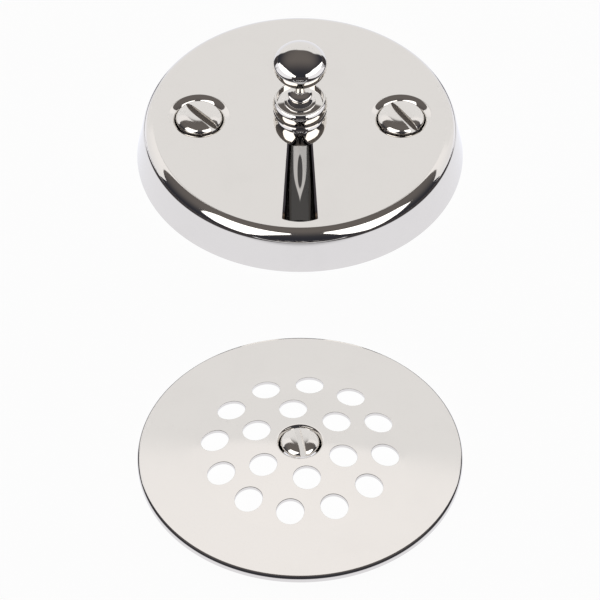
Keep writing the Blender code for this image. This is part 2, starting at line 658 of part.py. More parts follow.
def bracket_fasteners(parent, washer_material, nut_material):
    """A split lock washer and a hexagon nut on each welded post."""
    bore = POST_RADIUS + SEAT_GAP
    washer_top = WEB_BOTTOM - SEAT_GAP
    nut_top = -LOCK_WASHER - SEAT_GAP
    corner = NUT_HALF_FLATS / math.cos(math.pi / 6)
    for side, word in ((-1, "left"), (1, "right")):
        at = (side * POST_X, POST_Y, washer_top)
        ring = washer("lock_washer", bore, LOCK_WASHER_RADIUS, -LOCK_WASHER, 0, SMALL_STEPS)
        far = LOCK_WASHER_RADIUS + OVERRUN
        half = LOCK_WASHER_SPLIT / 2
        cut(ring, prism("split", [(0, -half), (far, -half), (far, half), (0, half)],
                        -LOCK_WASHER - OVERRUN, OVERRUN))
        finish(ring, "bracket_washer_" + word, parent, at, washer_material)
        hexagon = arc((0, 0), corner, 0, math.tau * 5 / 6, 5)
        nut = prism("nut", hexagon, nut_top - NUT_THICKNESS, nut_top)
        round_blank = disc("blank", corner, nut_top - NUT_THICKNESS, nut_top, SMALL_STEPS, NUT_BEVEL)
        combine(nut, round_blank, "INTERSECT")
        cut(nut, disc("thread", bore, nut_top - NUT_THICKNESS - OVERRUN, nut_top + OVERRUN, SMALL_STEPS))
        finish(nut, "bracket_nut_" + word, parent, at, nut_material)


def pivot_pin(parent, material):
    """The headed cross pin, with a groove for its clip."""
    head = EAR_OUTSIDE + SEAT_GAP
    groove = -EAR_OUTSIDE
    groove_end = groove - CLIP_THICKNESS - 2 * SEAT_GAP
    end = groove_end - PIN_END
    profile = [(0, head + PIN_HEAD), (PIN_HEAD_RADIUS - RING_BEVEL, head + PIN_HEAD),
               (PIN_HEAD_RADIUS, head + PIN_HEAD - RING_BEVEL), (PIN_HEAD_RADIUS, head),
               (PIN_RADIUS, head), (PIN_RADIUS, groove), (CLIP_GROOVE, groove),
               (CLIP_GROOVE, groove_end), (PIN_RADIUS, groove_end), (PIN_RADIUS, end + RING_BEVEL),
               (PIN_RADIUS - RING_BEVEL, end), (0, end)]
    pin = place(turned("pin", profile, SMALL_STEPS, closed=False), rotation=(0, math.pi / 2, 0))
    finish(pin, "pivot_pin", parent, (0, PIVOT_Y, PIVOT_Z), material)


def pivot_clip(parent, material):
    """The open clip that keeps the pivot pin in its ears."""
    top = -EAR_OUTSIDE - SEAT_GAP
    clip = washer("clip", CLIP_GROOVE + SEAT_GAP, CLIP_RADIUS, top - CLIP_THICKNESS, top, SMALL_STEPS)
    half = CLIP_MOUTH / 2
    far = CLIP_RADIUS + OVERRUN
    cut(clip, prism("mouth", [(0, -half), (far, -half), (far, half), (0, half)],
                    top - CLIP_THICKNESS - OVERRUN, top + OVERRUN))
    place(clip, rotation=(0, math.pi / 2, 0))
    finish(clip, "pivot_clip", parent, (0, PIVOT_Y, PIVOT_Z), material)


def friction_washers(parent, material):
    """A washer on each side of the hub."""
    near = HUB_HALF + SEAT_GAP
    for side, word in ((-1, "left"), (1, "right")):
        ring = washer("washer", PIN_RADIUS + PIN_CLEARANCE, WASHER_RADIUS, 0, WASHER_THICKNESS,
                      SMALL_STEPS)
        place(ring, (side * near, 0, 0), (0, side * math.pi / 2, 0))
        finish(ring, "friction_washer_" + word, parent, (0, PIVOT_Y, PIVOT_Z), material)


def friction_spring(parent, material):
    """The leaf under the arm, from the bridge to the hub, which it presses on."""
    tip = PIVOT_Y + HUB_RADIUS + SEAT_GAP
    bend = WINDOW_TOP + SPRING_SHEET
    foot = bend - (SPRING_TOP - PIVOT_Z) / 2
    low_top = PIVOT_Z + SPRING_SHEET / 2
    end = WEB_END - BRACKET_CORNER / 2
    lower = [(y, z - SPRING_SHEET) for y, z in ((tip, low_top), (foot, low_top), (bend, SPRING_TOP),
                                               (end, SPRING_TOP))]
    upper = [(end, SPRING_TOP), (bend - SPRING_SHEET / 2, SPRING_TOP),
             (foot - SPRING_SHEET / 2, low_top), (tip, low_top)]
    leaf = side_prism("leaf", lower + upper, SPRING_HALF)
    hole = disc("rivet_hole", RIVET_RADIUS + SEAT_GAP, PIVOT_Z, WEB_TOP, SMALL_STEPS)
    cut(leaf, place(hole, (0, RIVET_Y, 0)))
    finish(leaf, "friction_spring", parent, (0, 0, 0), material)


def spring_rivet(parent, material):
    """The rivet that holds the leaf to the bridge, flush above and with a flat head below."""
    flush_end = WEB_TOP - (RIVET_FLUSH_HEAD - RIVET_RADIUS)
    head_top = SPRING_TOP - SPRING_SHEET - SEAT_GAP
    profile = [(0, WEB_TOP), (RIVET_FLUSH_HEAD, WEB_TOP), (RIVET_RADIUS, flush_end),
               (RIVET_RADIUS, head_top), (RIVET_HEAD, head_top), (RIVET_HEAD, head_top - RIVET_HEAD_RISE / 2),
               (RIVET_HEAD / 2, head_top - RIVET_HEAD_RISE), (0, head_top - RIVET_HEAD_RISE)]
    rivet = turned("rivet", profile, SMALL_STEPS, closed=False)
    finish(rivet, "spring_rivet", parent, (0, RIVET_Y, 0), material)


def linkage_cotter(parent, material):
    """The split pin in the tail's eye, which takes the linkage."""
    eye_y = TAIL_LENGTH * math.cos(TAIL_ANGLE)
    eye_z = -TAIL_LENGTH * math.sin(TAIL_ANGLE)
    near = TAIL_HALF + COTTER_END
    pin = cross_cylinder("cotter", COTTER_RADIUS, -near, near, 0, 0, SMALL_STEPS, RING_BEVEL)
    loop_x = near + COTTER_LOOP - COTTER_WIRE
    ring = [(COTTER_LOOP + x, z) for x, z in arc((0, 0), COTTER_WIRE, 0, math.tau * 7 / 8, 7)]
    loop = place(turned("loop", ring, SMALL_STEPS), (loop_x, 0, 0))
    join(pin, loop)
    slit = COTTER_RADIUS / 4
    reach = TAIL_HALF + SEAT_GAP
    cut(pin, prism("slit", [(-near - OVERRUN, -slit), (-reach, -slit), (-reach, slit),
                            (-near - OVERRUN, slit)], -COTTER_RADIUS - OVERRUN, COTTER_RADIUS + OVERRUN))
    finish(pin, "linkage_cotter", parent, (0, eye_y, eye_z), material)


def build():
    """Makes every piece and hangs it on the plate, on the lever's pivot or on the strainer's centre."""
    clear_scene()
    nickel = (0.78, 0.76, 0.72)
    polished = finish_material("polished_nickel", nickel, 0.06)
    plate = anchor("plate_centre", (0, 0, 0))
    pivot = anchor("lever_pivot", (0, PIVOT_Y, PIVOT_Z))
    strainer = anchor("strainer_centre", (0, -STRAINER_DISTANCE, 0))
    at_knob = (0, ARM_LENGTH, PIVOT_DEPTH)
    face_plate(plate, polished)
    face_screws(plate, finish_material("nickel_screws", nickel, 0.1))
    pivot_bracket(plate, finish_material("bracket_steel", (0.6, 0.59, 0.57), 0.35))
    bracket_fasteners(plate, finish_material("lock_washer_steel", (0.5, 0.49, 0.47), 0.4),
                      finish_material("nut_brass", (0.72, 0.55, 0.28), 0.3))
    pivot_pin(plate, finish_material("pin_steel", (0.62, 0.62, 0.62), 0.25))
    pivot_clip(plate, finish_material("clip_steel", (0.42, 0.42, 0.43), 0.35))
    friction_washers(plate, finish_material("washer_bronze", (0.6, 0.42, 0.25), 0.4))
    friction_spring(plate, finish_material("spring_bronze", (0.66, 0.45, 0.26), 0.3))
    spring_rivet(plate, finish_material("rivet_brass", (0.74, 0.57, 0.3), 0.3))
    lever_arm(pivot, finish_material("arm_nickel", nickel, 0.08))
    knob_stud(pivot, at_knob, finish_material("stud_brass", (0.74, 0.57, 0.3), 0.3))
    knob_collar(pivot, at_knob, finish_material("collar_nickel", nickel, 0.06))
    knob(pivot, at_knob, finish_material("knob_nickel", nickel, 0.05))
    linkage_cotter(pivot, finish_material("cotter_brass", (0.76, 0.6, 0.33), 0.3))
    strainer_plate(strainer, finish_material("strainer_nickel", nickel, 0.06))
    strainer_screw(strainer, finish_material("strainer_screw_nickel", nickel, 0.1))


build()
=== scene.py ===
"""Looks of a trip lever bath drain: the overflow face plate with its lever, and the bath strainer.

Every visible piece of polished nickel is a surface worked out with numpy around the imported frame.
X is to the right, Y up the bath wall and Z out of it; both plates seat on z = 0. Metres throughout.
"""

import json
import math

import bmesh
import bpy
import numpy as np
from bpy.props import FloatProperty, FloatVectorProperty, PointerProperty
from mathutils import Matrix, Vector
from mathutils.geometry import delaunay_2d_cdt

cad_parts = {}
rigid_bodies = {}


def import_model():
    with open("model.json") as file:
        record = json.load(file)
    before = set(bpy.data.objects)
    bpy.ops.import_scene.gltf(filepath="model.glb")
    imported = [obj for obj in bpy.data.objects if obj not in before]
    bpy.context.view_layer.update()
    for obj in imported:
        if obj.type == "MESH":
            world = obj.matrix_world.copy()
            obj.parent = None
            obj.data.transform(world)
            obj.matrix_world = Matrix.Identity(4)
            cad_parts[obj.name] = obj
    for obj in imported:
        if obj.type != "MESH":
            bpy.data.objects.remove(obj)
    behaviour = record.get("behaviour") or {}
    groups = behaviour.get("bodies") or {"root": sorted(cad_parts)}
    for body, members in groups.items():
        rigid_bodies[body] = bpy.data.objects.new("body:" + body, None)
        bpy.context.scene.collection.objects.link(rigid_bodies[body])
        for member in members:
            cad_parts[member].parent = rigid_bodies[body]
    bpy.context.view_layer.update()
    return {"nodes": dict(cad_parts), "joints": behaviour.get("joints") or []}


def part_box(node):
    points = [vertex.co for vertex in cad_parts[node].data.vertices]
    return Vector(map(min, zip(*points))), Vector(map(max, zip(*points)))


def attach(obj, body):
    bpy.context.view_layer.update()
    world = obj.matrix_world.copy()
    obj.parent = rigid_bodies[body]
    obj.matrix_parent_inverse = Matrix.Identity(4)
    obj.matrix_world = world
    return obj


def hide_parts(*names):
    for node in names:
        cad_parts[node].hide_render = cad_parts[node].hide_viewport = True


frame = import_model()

bl_info = {
    "name": "Trip Lever Bath Drain",
    "version": (1, 0, 0),
    "blender": (4, 5, 0),
    "location": "View3D > Sidebar > Bath Drain",
    "description": "Builds a polished nickel overflow plate, its trip lever and a bath strainer",
    "category": "Add Mesh",
}

MM = 0.001
QUARTER = math.pi / 2
FULL = math.tau

# Finish of edges, and how finely each kind of piece is turned
GUARD = 0.06 * MM
RIM_EDGE = 0.12 * MM
SLOT_EDGE = 0.07 * MM
CORNER_ROUND = 0.45 * MM
PLATE_STEPS = 256
STRAINER_STEPS = 240
KNOB_STEPS = 128
SEAT_STEPS = 96
HOLE_STEPS = 48
POST_STEPS = 48

# The strainer: where its dome ends, the rounds over and under its crease, and its rings of holes
CREASE_INSET = 0.8 * MM
CREASE_ROUND, CREASE_UNDER = 4 * MM, 3 * MM
LATTICE_STEP = 0.9 * MM
OUTER_HOLES, INNER_HOLES = (12, 83.5), (6, 98.4)

# How each screw was left turned, in degrees, and where the section of the knob's bead starts
SCREW_TURNS = {"face_screw_left": -46.7, "face_screw_right": -55.3, "strainer_screw": -79.3}
BEAD_START = math.radians(-60)

# Edges turned further than this are drawn sharp, and those of the screws sooner
SHARP, SCREW_SHARP = math.radians(40), math.radians(32)

# Nickel: roughness, how much its haze adds to that, and the height of its slow waves in metres
FACE_NICKEL = (0.04, 0.02, 0.000004)
STRAINER_NICKEL = (0.045, 0.025, 0.000006)
ARM_NICKEL = (0.05, 0.03, 0.000003)
KNOB_NICKEL = (0.035, 0.02, 0.000002)
SCREW_NICKEL = (0.07, 0.04, 0.000002)

# Metal finishes: heights of the marks left on them, and how dark their patches are
BUFF_MARK, TOOL_MARK, ROLL_MARK = 0.00000025, 0.000004, 0.000006
TOOL_PITCH = 0.00012
CLOUD_SHARE, STAIN_SHARE, DULL_SHARE = 0.965, 0.72, 0.76

# The studio: corners of each light board as azimuth and elevation in degrees
BACK_BOARD = ((-44, -20), (-44, 24), (-20, 44), (0, 50.5), (20, 47.3), (48, 34), (48, -20))
KNOB_BOXES = (((-74, -3), (-74, 9), (-93, 20), (-117, 24), (-142, 19), (-164, 8), (-161, -3)),
              ((67, -3), (67, 3), (90, 16), (118, 24), (145, 18), (157, 16), (157, -3)))
PLATE_BOXES = (((-110, 28), (-88, 64), (-120, 70), (-170, 67), (-172, 57), (-162, 42), (-155, 20), (-146, 5),
                (-136, 7), (-124, 13)),
               ((95, 36), (94, 51), (115, 59), (153, 68), (160, 56), (154, 25), (146, 10), (136, -1),
                (126, 5), (113, 18)))
PLATE_BOARDS = (((-5, 52), (-38, 50), (-65, 36), (-80, 20), (-76, -5), (-50, -20), (-40, -20)),
                ((5, 52), (38, 50), (65, 36), (80, 20), (76, -5), (50, -20), (40, -20)))
STRAINER_BOARD = ((-62, 10), (62, 10), (95, 72), (180, 84), (-95, 72))
ARM_BOARD = ((-50, 12), (-55, 60), (0, 74), (55, 60), (50, 12))
BOARD_EDGE = 0.05
PANEL_DISTANCE = 100.0

# Tints of the dark room in front and overhead, and of the boards; where the room grows lighter
FRONT_TINT = (0.6, 0.62, 0.8)
TOP_TINT = (2.8, 2.55, 2.45)
BACK_TINT = (0.985, 0.99, 1.01)
LIFT_UP, LIFT_BACK = (0.1, 1.0), (-1.1, 0.1)

# The arm's painted reflection, a bright V: its top and length from the pivot, half width, curve and soft edge
PAINTED_V_TOP, PAINTED_V_LENGTH, PAINTED_V_HALF = 20.4 * MM, 19.2 * MM, 1.68 * MM
PAINTED_V_POWER, PAINTED_V_EDGE = 3.5, 0.2 * MM

# The painted dark oval in the V, the painted shade beside the V, and the painted shade over the whole arm
PAINTED_OVAL_AT, PAINTED_OVAL_REACH, PAINTED_OVAL_HALF = 12.0 * MM, 5.4 * MM, 0.62 * MM
PAINTED_SHADE_SHARE = 0.13
ARM_PAINTED_SHADE_SHARE = 0.58

# The floor's mirror image: distances at which it turns from one shade to the other, in metres
PLATE_WHITE = (0.054, 0.058)
# Painted shadow: inside this radius, under the plate, the floor is painted dark to the camera and in mirror
# images
PAINTED_HOLLOW_SHADOW = (0.0375, 0.0385)
STRAINER_WHITE = (0.040, 0.043)
BEHIND = (0.0, 0.004)

# Pale stretches of the floor for chosen pieces: corners on the right side, in millimetres
KNOB_PATCH = ((73, -126), (73, 29.5), (2900, 1172), (2900, -2900), (1700, -2900))
PLATE_PATCH = ((57, 10), (57, 56), (2900, 2890), (2900, 348))
PATCH_RISE = 0.02 * MM

# The floor itself: its tints, its size and level, and how much of it glows
NEAR_TINT = (1.04, 1.06, 1.14)
DARK_TINT = (0.05, 0.045, 0.05)
FLOOR_HALF = 3.0
FLOOR_Z = -0.1 * MM
FLOOR_SHARE = 0.92
FLOOR_GLOW = 1.045

# The camera: lens and sensor in millimetres, its place in metres and its tilt in degrees
LENS, SENSOR = 436.8, 36.0
CAMERA_PLACE = (0, -1.2451, 1.2650)
CAMERA_TILT = 43.4

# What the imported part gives: gaps, seats and places
SEAT_GAP = 0.3 * MM
SEAT_ANGLE = math.radians(41)
PLATE_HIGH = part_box("face_plate")[1]
STRAINER_LOW, STRAINER_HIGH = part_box("strainer_plate")
PIVOT = Vector(frame["joints"][0]["pos_m"])
STRAINER_Y = (STRAINER_LOW.y + STRAINER_HIGH.y) / 2
KNOB_LOW, KNOB_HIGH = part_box("knob")
POST_LOW, POST_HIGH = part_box("bracket_nut_right")
KNOB_Y = (KNOB_LOW.y + KNOB_HIGH.y) / 2
FACE_Z = PLATE_HIGH.z


def length(name, size, description):
    """A length property, from its size in millimetres."""
    return FloatProperty(name=name, description=description, default=size * MM, min=0.0,
                         unit="LENGTH", precision=5)


def tilt(name, degrees, description):
    """An angle property, from its size in degrees."""
    return FloatProperty(name=name, description=description, default=math.radians(degrees), subtype="ANGLE")


def radiance(name, default, description):
    """A property for how bright a light is."""
    return FloatProperty(name=name, description=description, default=default)


def colour(name, default, description):
    """A colour property."""
    return FloatVectorProperty(name=name, description=description, default=default, size=3,
                               subtype="COLOR", min=0.0, max=1.0)


class PlateSizes(bpy.types.PropertyGroup):
    """Sizes of the overflow face plate, its slot and its two screws."""
    wall: length("Wall", 1.2, "Sheet thickness of the face plate")
    shoulder: length("Shoulder", 3.0, "Outer radius of the rounded shoulder")
    flare: tilt("Flare", 10.5, "Lean of the skirt from upright")
    slot_lip: length("Slot lip", 0.15, "Radius of the rounded edge round the slot")
    slot_top: length("Slot top half", 3.13, "Half width of the slot at the knob, over its lip")
    slot_end: length("Slot end half", 4.45, "Half width of the slot at its lower end, over its lip")
    slot_length: length("Slot length", 28.4, "Length of the slot below the knob's axis, over its lip")
    slot_end_radius: length("Slot end radius", 10.0, "Radius of the slot's lower end in plan")
    screw_spacing: length("Screw spacing", 49.1, "Distance between the two face screws")
    screw_rise: length("Screw rise", 2.1, "Height of the screws above the plate's centre")
    seat_round: length("Seat round", 2.9, "Radius with which the face rolls over into a seat")
    post_radius: length("Post radius", 1.5, "Radius of the two welded posts behind the plate")
    post_length: length("Post length", 5.6, "Length of the posts")
    post_drop: length("Post drop", 12.0, "Distance of the posts below the plate's centre")


class ScrewSizes(bpy.types.PropertyGroup):
    """Sizes of the oval head screws."""
    face_head: length("Face head", 5.65, "Radius of the head of a face screw")
    face_shank: length("Face shank", 2.95, "Radius of the thread of a face screw")
    face_sink: length("Face sink", 0.5, "How far the head's rim lies below the face")
    face_oval: length("Face oval", 1.5, "Rise of the head's dome")
    face_slot: length("Face slot", 1.8, "Width of the driver slot")
    face_cut: length("Face cut", 1.4, "Depth of the driver slot under the dome's top")
    strainer_head: length("Strainer head", 4.55, "Radius of the head of the strainer screw")
    strainer_shank: length("Strainer shank", 2.4, "Radius of its thread")
    strainer_sink: length("Strainer sink", 0.5, "How far its rim lies below the seat's mouth")
    strainer_oval: length("Strainer oval", 1.4, "Rise of its dome")
    strainer_slot: length("Strainer slot", 1.35, "Width of its driver slot")
    strainer_cut: length("Strainer cut", 1.3, "Depth of its driver slot")
    pitch: length("Pitch", 1.27, "Pitch of the screw threads")


class StrainerSizes(bpy.types.PropertyGroup):
    """Sizes of the strainer."""
    sheet: length("Sheet", 0.9, "Sheet thickness of the strainer")
    edge: length("Edge", 1.85, "Height of the turned-down edge")
    edge_round: length("Edge round", 1.0, "Radius of the turned-down edge")
    crease_radius: length("Crease radius", 24.8, "Radius at which the dome meets the flange")
    crease_height: length("Crease height", 3.13, "Height of the crease above the seat")
    dome: length("Dome", 86.7, "Radius of the dome's sphere")
    hole: length("Hole", 3.25, "Radius of each round hole")
    seat_round: length("Seat round", 0.5, "Radius with which the dome rolls over into the seat")
    outer_ring: length("Outer ring", 20.05, "Radius of the outer ring of holes")
    inner_ring: length("Inner ring", 10.93, "Radius of the inner ring of holes")


class LeverSizes(bpy.types.PropertyGroup):
    """Sizes of the lever's arm, hub and tail."""
    arm_top_half: length("Arm top half", 2.68, "Half width of the bar at the knob")
    arm_end_half: length("Arm end half", 3.88, "Half width of the bar at its lower end")
    arm_top_crown: length("Arm top crown", 3.0, "Radius of the bar's rounded top at the knob")
    arm_end_crown: length("Arm end crown", 4.8, "Radius of its rounded top at the lower end")
    arm_depth: length("Arm depth", 3.4, "Height of the bar at the knob")
    arm_drop: length("Arm drop", 1.2, "How far the bar's top falls from the knob to the pivot")
    past_pivot: length("Past pivot", 3.2, "How far the bar runs on past the pivot")
    hub_radius: length("Hub radius", 3.7, "Radius of the hub on the pivot pin")
    hub_half: length("Hub half", 3.3, "Half the length of the hub")
    bore: length("Bore", 1.58, "Radius of the bore for the pivot pin")
    tail_length: length("Tail length", 34.0, "Length of the tail from the pivot to its eye")
    tail_half: length("Tail half", 2.0, "Half the width of the tail")
    tail_thickness: length("Tail thickness", 2.8, "Thickness of the tail")
    tail_angle: tilt("Tail angle", 65, "Slope of the tail into the overflow hole")
    eye_radius: length("Eye radius", 3.0, "Outer radius of the tail's eye")
    eye_hole: length("Eye hole", 1.5, "Radius of the hole in the eye")
    tap: length("Tap", 1.55, "Radius of the tapped hole for the stud")
    tap_depth: length("Tap depth", 2.8, "Depth of the tapped hole")


class KnobSizes(bpy.types.PropertyGroup):
    """Sizes of the knob and its collar; heights are above the plate's face."""
    stud: length("Stud", 1.25, "Radius of the stud")
    stud_reach: length("Stud reach", 13.3, "Height of the stud's end")
    ring: length("Ring", 3.2, "Radius of the ring that rests on the plate")
    bowl: length("Bowl", 6.5, "Radius of the bowl")
    bowl_centre: length("Bowl centre", 6.2, "Height of the bowl's centre")
    lip: length("Lip", 6.45, "Radius of the thin lip")
    lip_height: length("Lip height", 9.45, "Height of the lip")
    lip_thickness: length("Lip thickness", 0.25, "Thickness of the lip")
    band_foot: length("Band foot", 6.2, "Radius of the band at its foot")
    band_bulge: length("Band bulge", 0.4, "How far the band swells")
    rim_height: length("Rim height", 13.5, "Height of the rim")
    rim_round: length("Rim round", 0.25, "Radius of the rim's edges")
    dish: length("Dish", 5.7, "Radius of the dish in the collar's top")
    dish_height: length("Dish height", 11.5, "Height of the dish")
    foot: length("Foot", 5.4, "Radius of the knob's foot")
    foot_edge: length("Foot edge", 0.15, "Height of the foot's edge")
    tier: length("Tier", 3.8, "Radius of the tier over the foot")
    tier_height: length("Tier height", 12.3, "Height of the tier's edge")
    tier_rise: length("Tier rise", 0.6, "Rise of the tier's rounded top")
    waist: length("Waist", 3.0, "Radius under the bead")
    bead: length("Bead", 3.0, "Radius of the bead")
    bead_inner: length("Bead inner", 1.3, "Radius at which the bead's top meets the neck")
    bead_height: length("Bead height", 14.8, "Height of the bead's widest line")
    bead_rise: length("Bead rise", 1.2, "Rise of the bead's top over it")
    neck: length("Neck", 1.1, "Radius of the neck")
    neck_height: length("Neck height", 18.0, "Height at which the neck runs upright")
    ball_height: length("Ball height", 24.95, "Height of the ball's centre")
    ball_radius: length("Ball radius", 6.5, "Radius of the ball round its middle")
    ball_half: length("Ball half height", 5.2, "Half the height of the ball")


class NickelLooks(bpy.types.PropertyGroup):
    """Colours of the metals."""
    nickel: colour("Nickel", (0.735, 0.705, 0.665), "Reflected colour of the polished nickel")
    steel: colour("Steel", (0.56, 0.55, 0.53), "Plated sheet steel of the bracket")
    brass: colour("Brass", (0.74, 0.53, 0.24), "Plain turned brass")
    bronze: colour("Bronze", (0.34, 0.25, 0.18), "Darkened bronze of the washers and the leaf spring")
    spring_steel: colour("Spring steel", (0.24, 0.24, 0.25), "Dark spring steel of the clip")
    floor: colour("Floor", (0.9, 0.9, 0.9), "Plain pale surface that the plates seat on")


class StageLight(bpy.types.PropertyGroup):
    """Strengths of the studio light."""
    back: radiance("Back board", 1.0, "Radiance of the light boards behind")
    side: radiance("Side boxes", 2.2, "Radiance of the soft boxes at the sides")
    room: radiance("Room", 0.06, "Radiance of the dark studio")


def sizes(kind):
    """The scene's property group of that kind."""
    return getattr(bpy.context.scene, kind)


# Arrays: profiles, grids and sheets

def arc(centre, radius, start, end, steps):
    """Points at centre + radius (cos t, sin t), with t running evenly from start to end."""
    t = np.linspace(start, end, steps + 1)
    return np.column_stack((centre[0] + radius * np.cos(t), centre[1] + radius * np.sin(t)))


def guarded(points, gap=GUARD):
    """A polyline with a point just inside each end of every long straight run.

    Each run from p to q longer than six gaps gains p + gap u and q - gap u, with u its unit vector,
    so that shading normals turn within the gap and the run stays flat in a reflection."""
    points = np.asarray(points, float)
    step = np.diff(points, axis=0)
    reach = np.linalg.norm(step, axis=1)
    unit = step / np.maximum(reach, 1e-12)[:, None]
    long_run = reach > 6 * gap
    near = points[:-1] + unit * gap
    far = points[1:] - unit * gap
    rows = np.stack((points[:-1], near, far), axis=1)
    keep = np.stack((np.ones_like(long_run), long_run, long_run), axis=1)
    return np.vstack((rows[keep], points[-1:]))


def filleted(corners, steps=6):
    """A polyline whose corners are rounded: each corner is (x, y, radius).

    A corner of radius r between unit directions a and b has its arc's ends r tan(half turn) away
    along each run, and the arc is drawn between them about the point at equal distance r."""
    corners = np.asarray(corners, float)
    out = [corners[:1, :2]]
    for before, here, after in zip(corners, corners[1:], corners[2:]):
        a = (before[:2] - here[:2]) / np.linalg.norm(before[:2] - here[:2])
        b = (after[:2] - here[:2]) / np.linalg.norm(after[:2] - here[:2])
        half = math.acos(np.clip(a @ b, -1, 1)) / 2
        if here[2] <= 0 or half > QUARTER - 1e-4:
            out.append(here[None, :2])
            continue
        middle = (a + b) / np.linalg.norm(a + b)
        centre = here[:2] + middle * here[2] / math.sin(half)
        first = here[:2] + a * here[2] / math.tan(half) - centre
        last = here[:2] + b * here[2] / math.tan(half) - centre
        t0 = math.atan2(first[1], first[0])
        turn = (math.atan2(last[1], last[0]) - t0 + math.pi) % FULL - math.pi
        out.append(arc(centre, here[2], t0, t0 + turn, steps))
    out.append(corners[-1:, :2])
    return guarded(np.vstack(out))


def grid_faces(rows, columns, wrap=True):
    """Quads between neighbouring rows and columns of a grid, the columns joined round if wrap."""
    i, j = np.meshgrid(np.arange(rows - 1), np.arange(columns if wrap else columns - 1), indexing="ij")
    k = (j + 1) % columns
    quads = np.stack((i * columns + j, i * columns + k, (i + 1) * columns + k, (i + 1) * columns + j), -1)
    return quads.reshape(-1, 4).tolist()


def turned(profile, steps):
    """Surface (r cos t, r sin t, z) of a profile of (r, z) points, with t round the full circle."""
    profile = np.asarray(profile, float)
    t = np.arange(steps) * FULL / steps
    x = profile[:, :1] * np.cos(t)
    y = profile[:, :1] * np.sin(t)
    z = np.repeat(profile[:, 1:], steps, axis=1)
    return np.stack((x, y, z), -1).reshape(-1, 3), grid_faces(len(profile), steps)


def rings(loops):
    """Surface through closed loops of points, given as an array of loops x points x 3."""
    loops = np.asarray(loops, float)
    return loops.reshape(-1, 3), grid_faces(loops.shape[0], loops.shape[1])


def capped(loops):
    """Surface through closed loops, with a flat face over the first and the last."""
    points, faces = rings(loops)
    count = np.shape(loops)[1]
    return points, faces + [list(range(count)), list(range(len(points) - count, len(points)))]


def grown(loop, growth):
    """A closed plan loop, counterclockwise, carried outwards by growth.

    Each point moves along the bisector of its two edges, so that every edge moves by growth."""
    ahead = np.roll(loop, -1, 0) - loop
    ahead /= np.linalg.norm(ahead, axis=1)[:, None]
    normal = np.column_stack((ahead[:, 1], -ahead[:, 0]))
    middle = normal + np.roll(normal, 1, 0)
    middle /= (middle * normal).sum(1)[:, None]
    return loop + middle * growth


def inside(points, loop):
    """Which points lie inside a closed loop: those with an odd count of its edges to their right."""
    x, y = points[:, :1], points[:, 1:2]
    x0, y0 = loop[:, 0], loop[:, 1]
    x1, y1 = np.roll(x0, -1), np.roll(y0, -1)
    spans = (y0 > y) != (y1 > y)
    rise = np.where(y1 == y0, 1.0, y1 - y0)
    return (spans & (x < (x1 - x0) * (y - y0) / rise + x0)).sum(1) % 2 == 1


def pierced(outer, holes, height, lattice=None):
    """Sheet over a plan: triangles between an outer loop and hole loops, lifted to z = height(x, y).

    A lattice of inner points makes a curved sheet fine enough; a flat one needs none."""
    loops = [outer] + list(holes)
    points = np.vstack(loops)
    edges, start = [], 0
    for loop in loops:
        index = start + np.arange(len(loop))
        edges += np.column_stack((index, np.roll(index, -1))).tolist()
        start += len(loop)
    if lattice is not None:
        points = np.vstack((points, lattice))
    found = delaunay_2d_cdt([Vector(p) for p in points], edges, [], 0, 1e-9)
    flat = np.array([v[:] for v in found[0]])
    faces = np.array([f for f in found[2] if len(f) == 3])
    centre = flat[faces].mean(1)
    keep = inside(centre, outer)
    for loop in holes:
        keep &= ~inside(centre, loop)
    return np.column_stack((flat, height(flat[:, 0], flat[:, 1]))), faces[keep].tolist()


def moved(part, place):
    """A part carried to a place."""
    return part[0] + np.asarray(place), part[1]


def circle(centre, radius, steps):
    """A closed loop of points round a circle in plan."""
    return arc(centre, radius, 0, FULL * (1 - 1 / steps), steps - 1)


def mesh_piece(name, parts, sharp=SHARP):
    """An object from parts, welded where they meet, with faces outwards and round faces smooth."""
    bm = bmesh.new()
    for points, faces in parts:
        mesh = bpy.data.meshes.new("part")
        mesh.from_pydata(np.asarray(points).tolist(), [], faces)
        bm.from_mesh(mesh)
        bpy.data.meshes.remove(mesh)
    bmesh.ops.remove_doubles(bm, verts=bm.verts[:], dist=0.0004 * MM)
    bmesh.ops.dissolve_degenerate(bm, edges=bm.edges[:], dist=0.0002 * MM)
    bmesh.ops.recalc_face_normals(bm, faces=bm.faces[:])
    mesh = bpy.data.meshes.new(name)
    bm.to_mesh(mesh)
    bm.free()
    mesh.shade_smooth()
    mesh.set_sharp_from_angle(angle=sharp)
    made = bpy.data.objects.new(name, mesh)
    bpy.context.scene.collection.objects.link(made)
    return made


def cut(target, cutter, operation="DIFFERENCE"):
    """Target cut by, or joined to, another piece, which is then removed."""
    modifier = target.modifiers.new("cut", "BOOLEAN")
    modifier.operation = operation
    modifier.solver = "EXACT"
    modifier.object = cutter
    bpy.context.view_layer.update()
    done = bpy.data.meshes.new_from_object(target.evaluated_get(bpy.context.evaluated_depsgraph_get()))
    target.modifiers.clear()
    old, target.data = target.data, done
    done.name = target.name
    bpy.data.meshes.remove(old)
    bpy.data.objects.remove(cutter, do_unlink=True)
    target.data.shade_smooth()
    target.data.set_sharp_from_angle(angle=SHARP)
    return target


def dress(piece, material, body, slot, *nodes):
    """Gives a new piece its finish and its body, and lets it stand for its CAD nodes."""
    piece.data.materials.clear()
    piece.data.materials.append(material)
    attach(piece, body)
    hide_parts(*nodes)
    return piece


# Shader maths

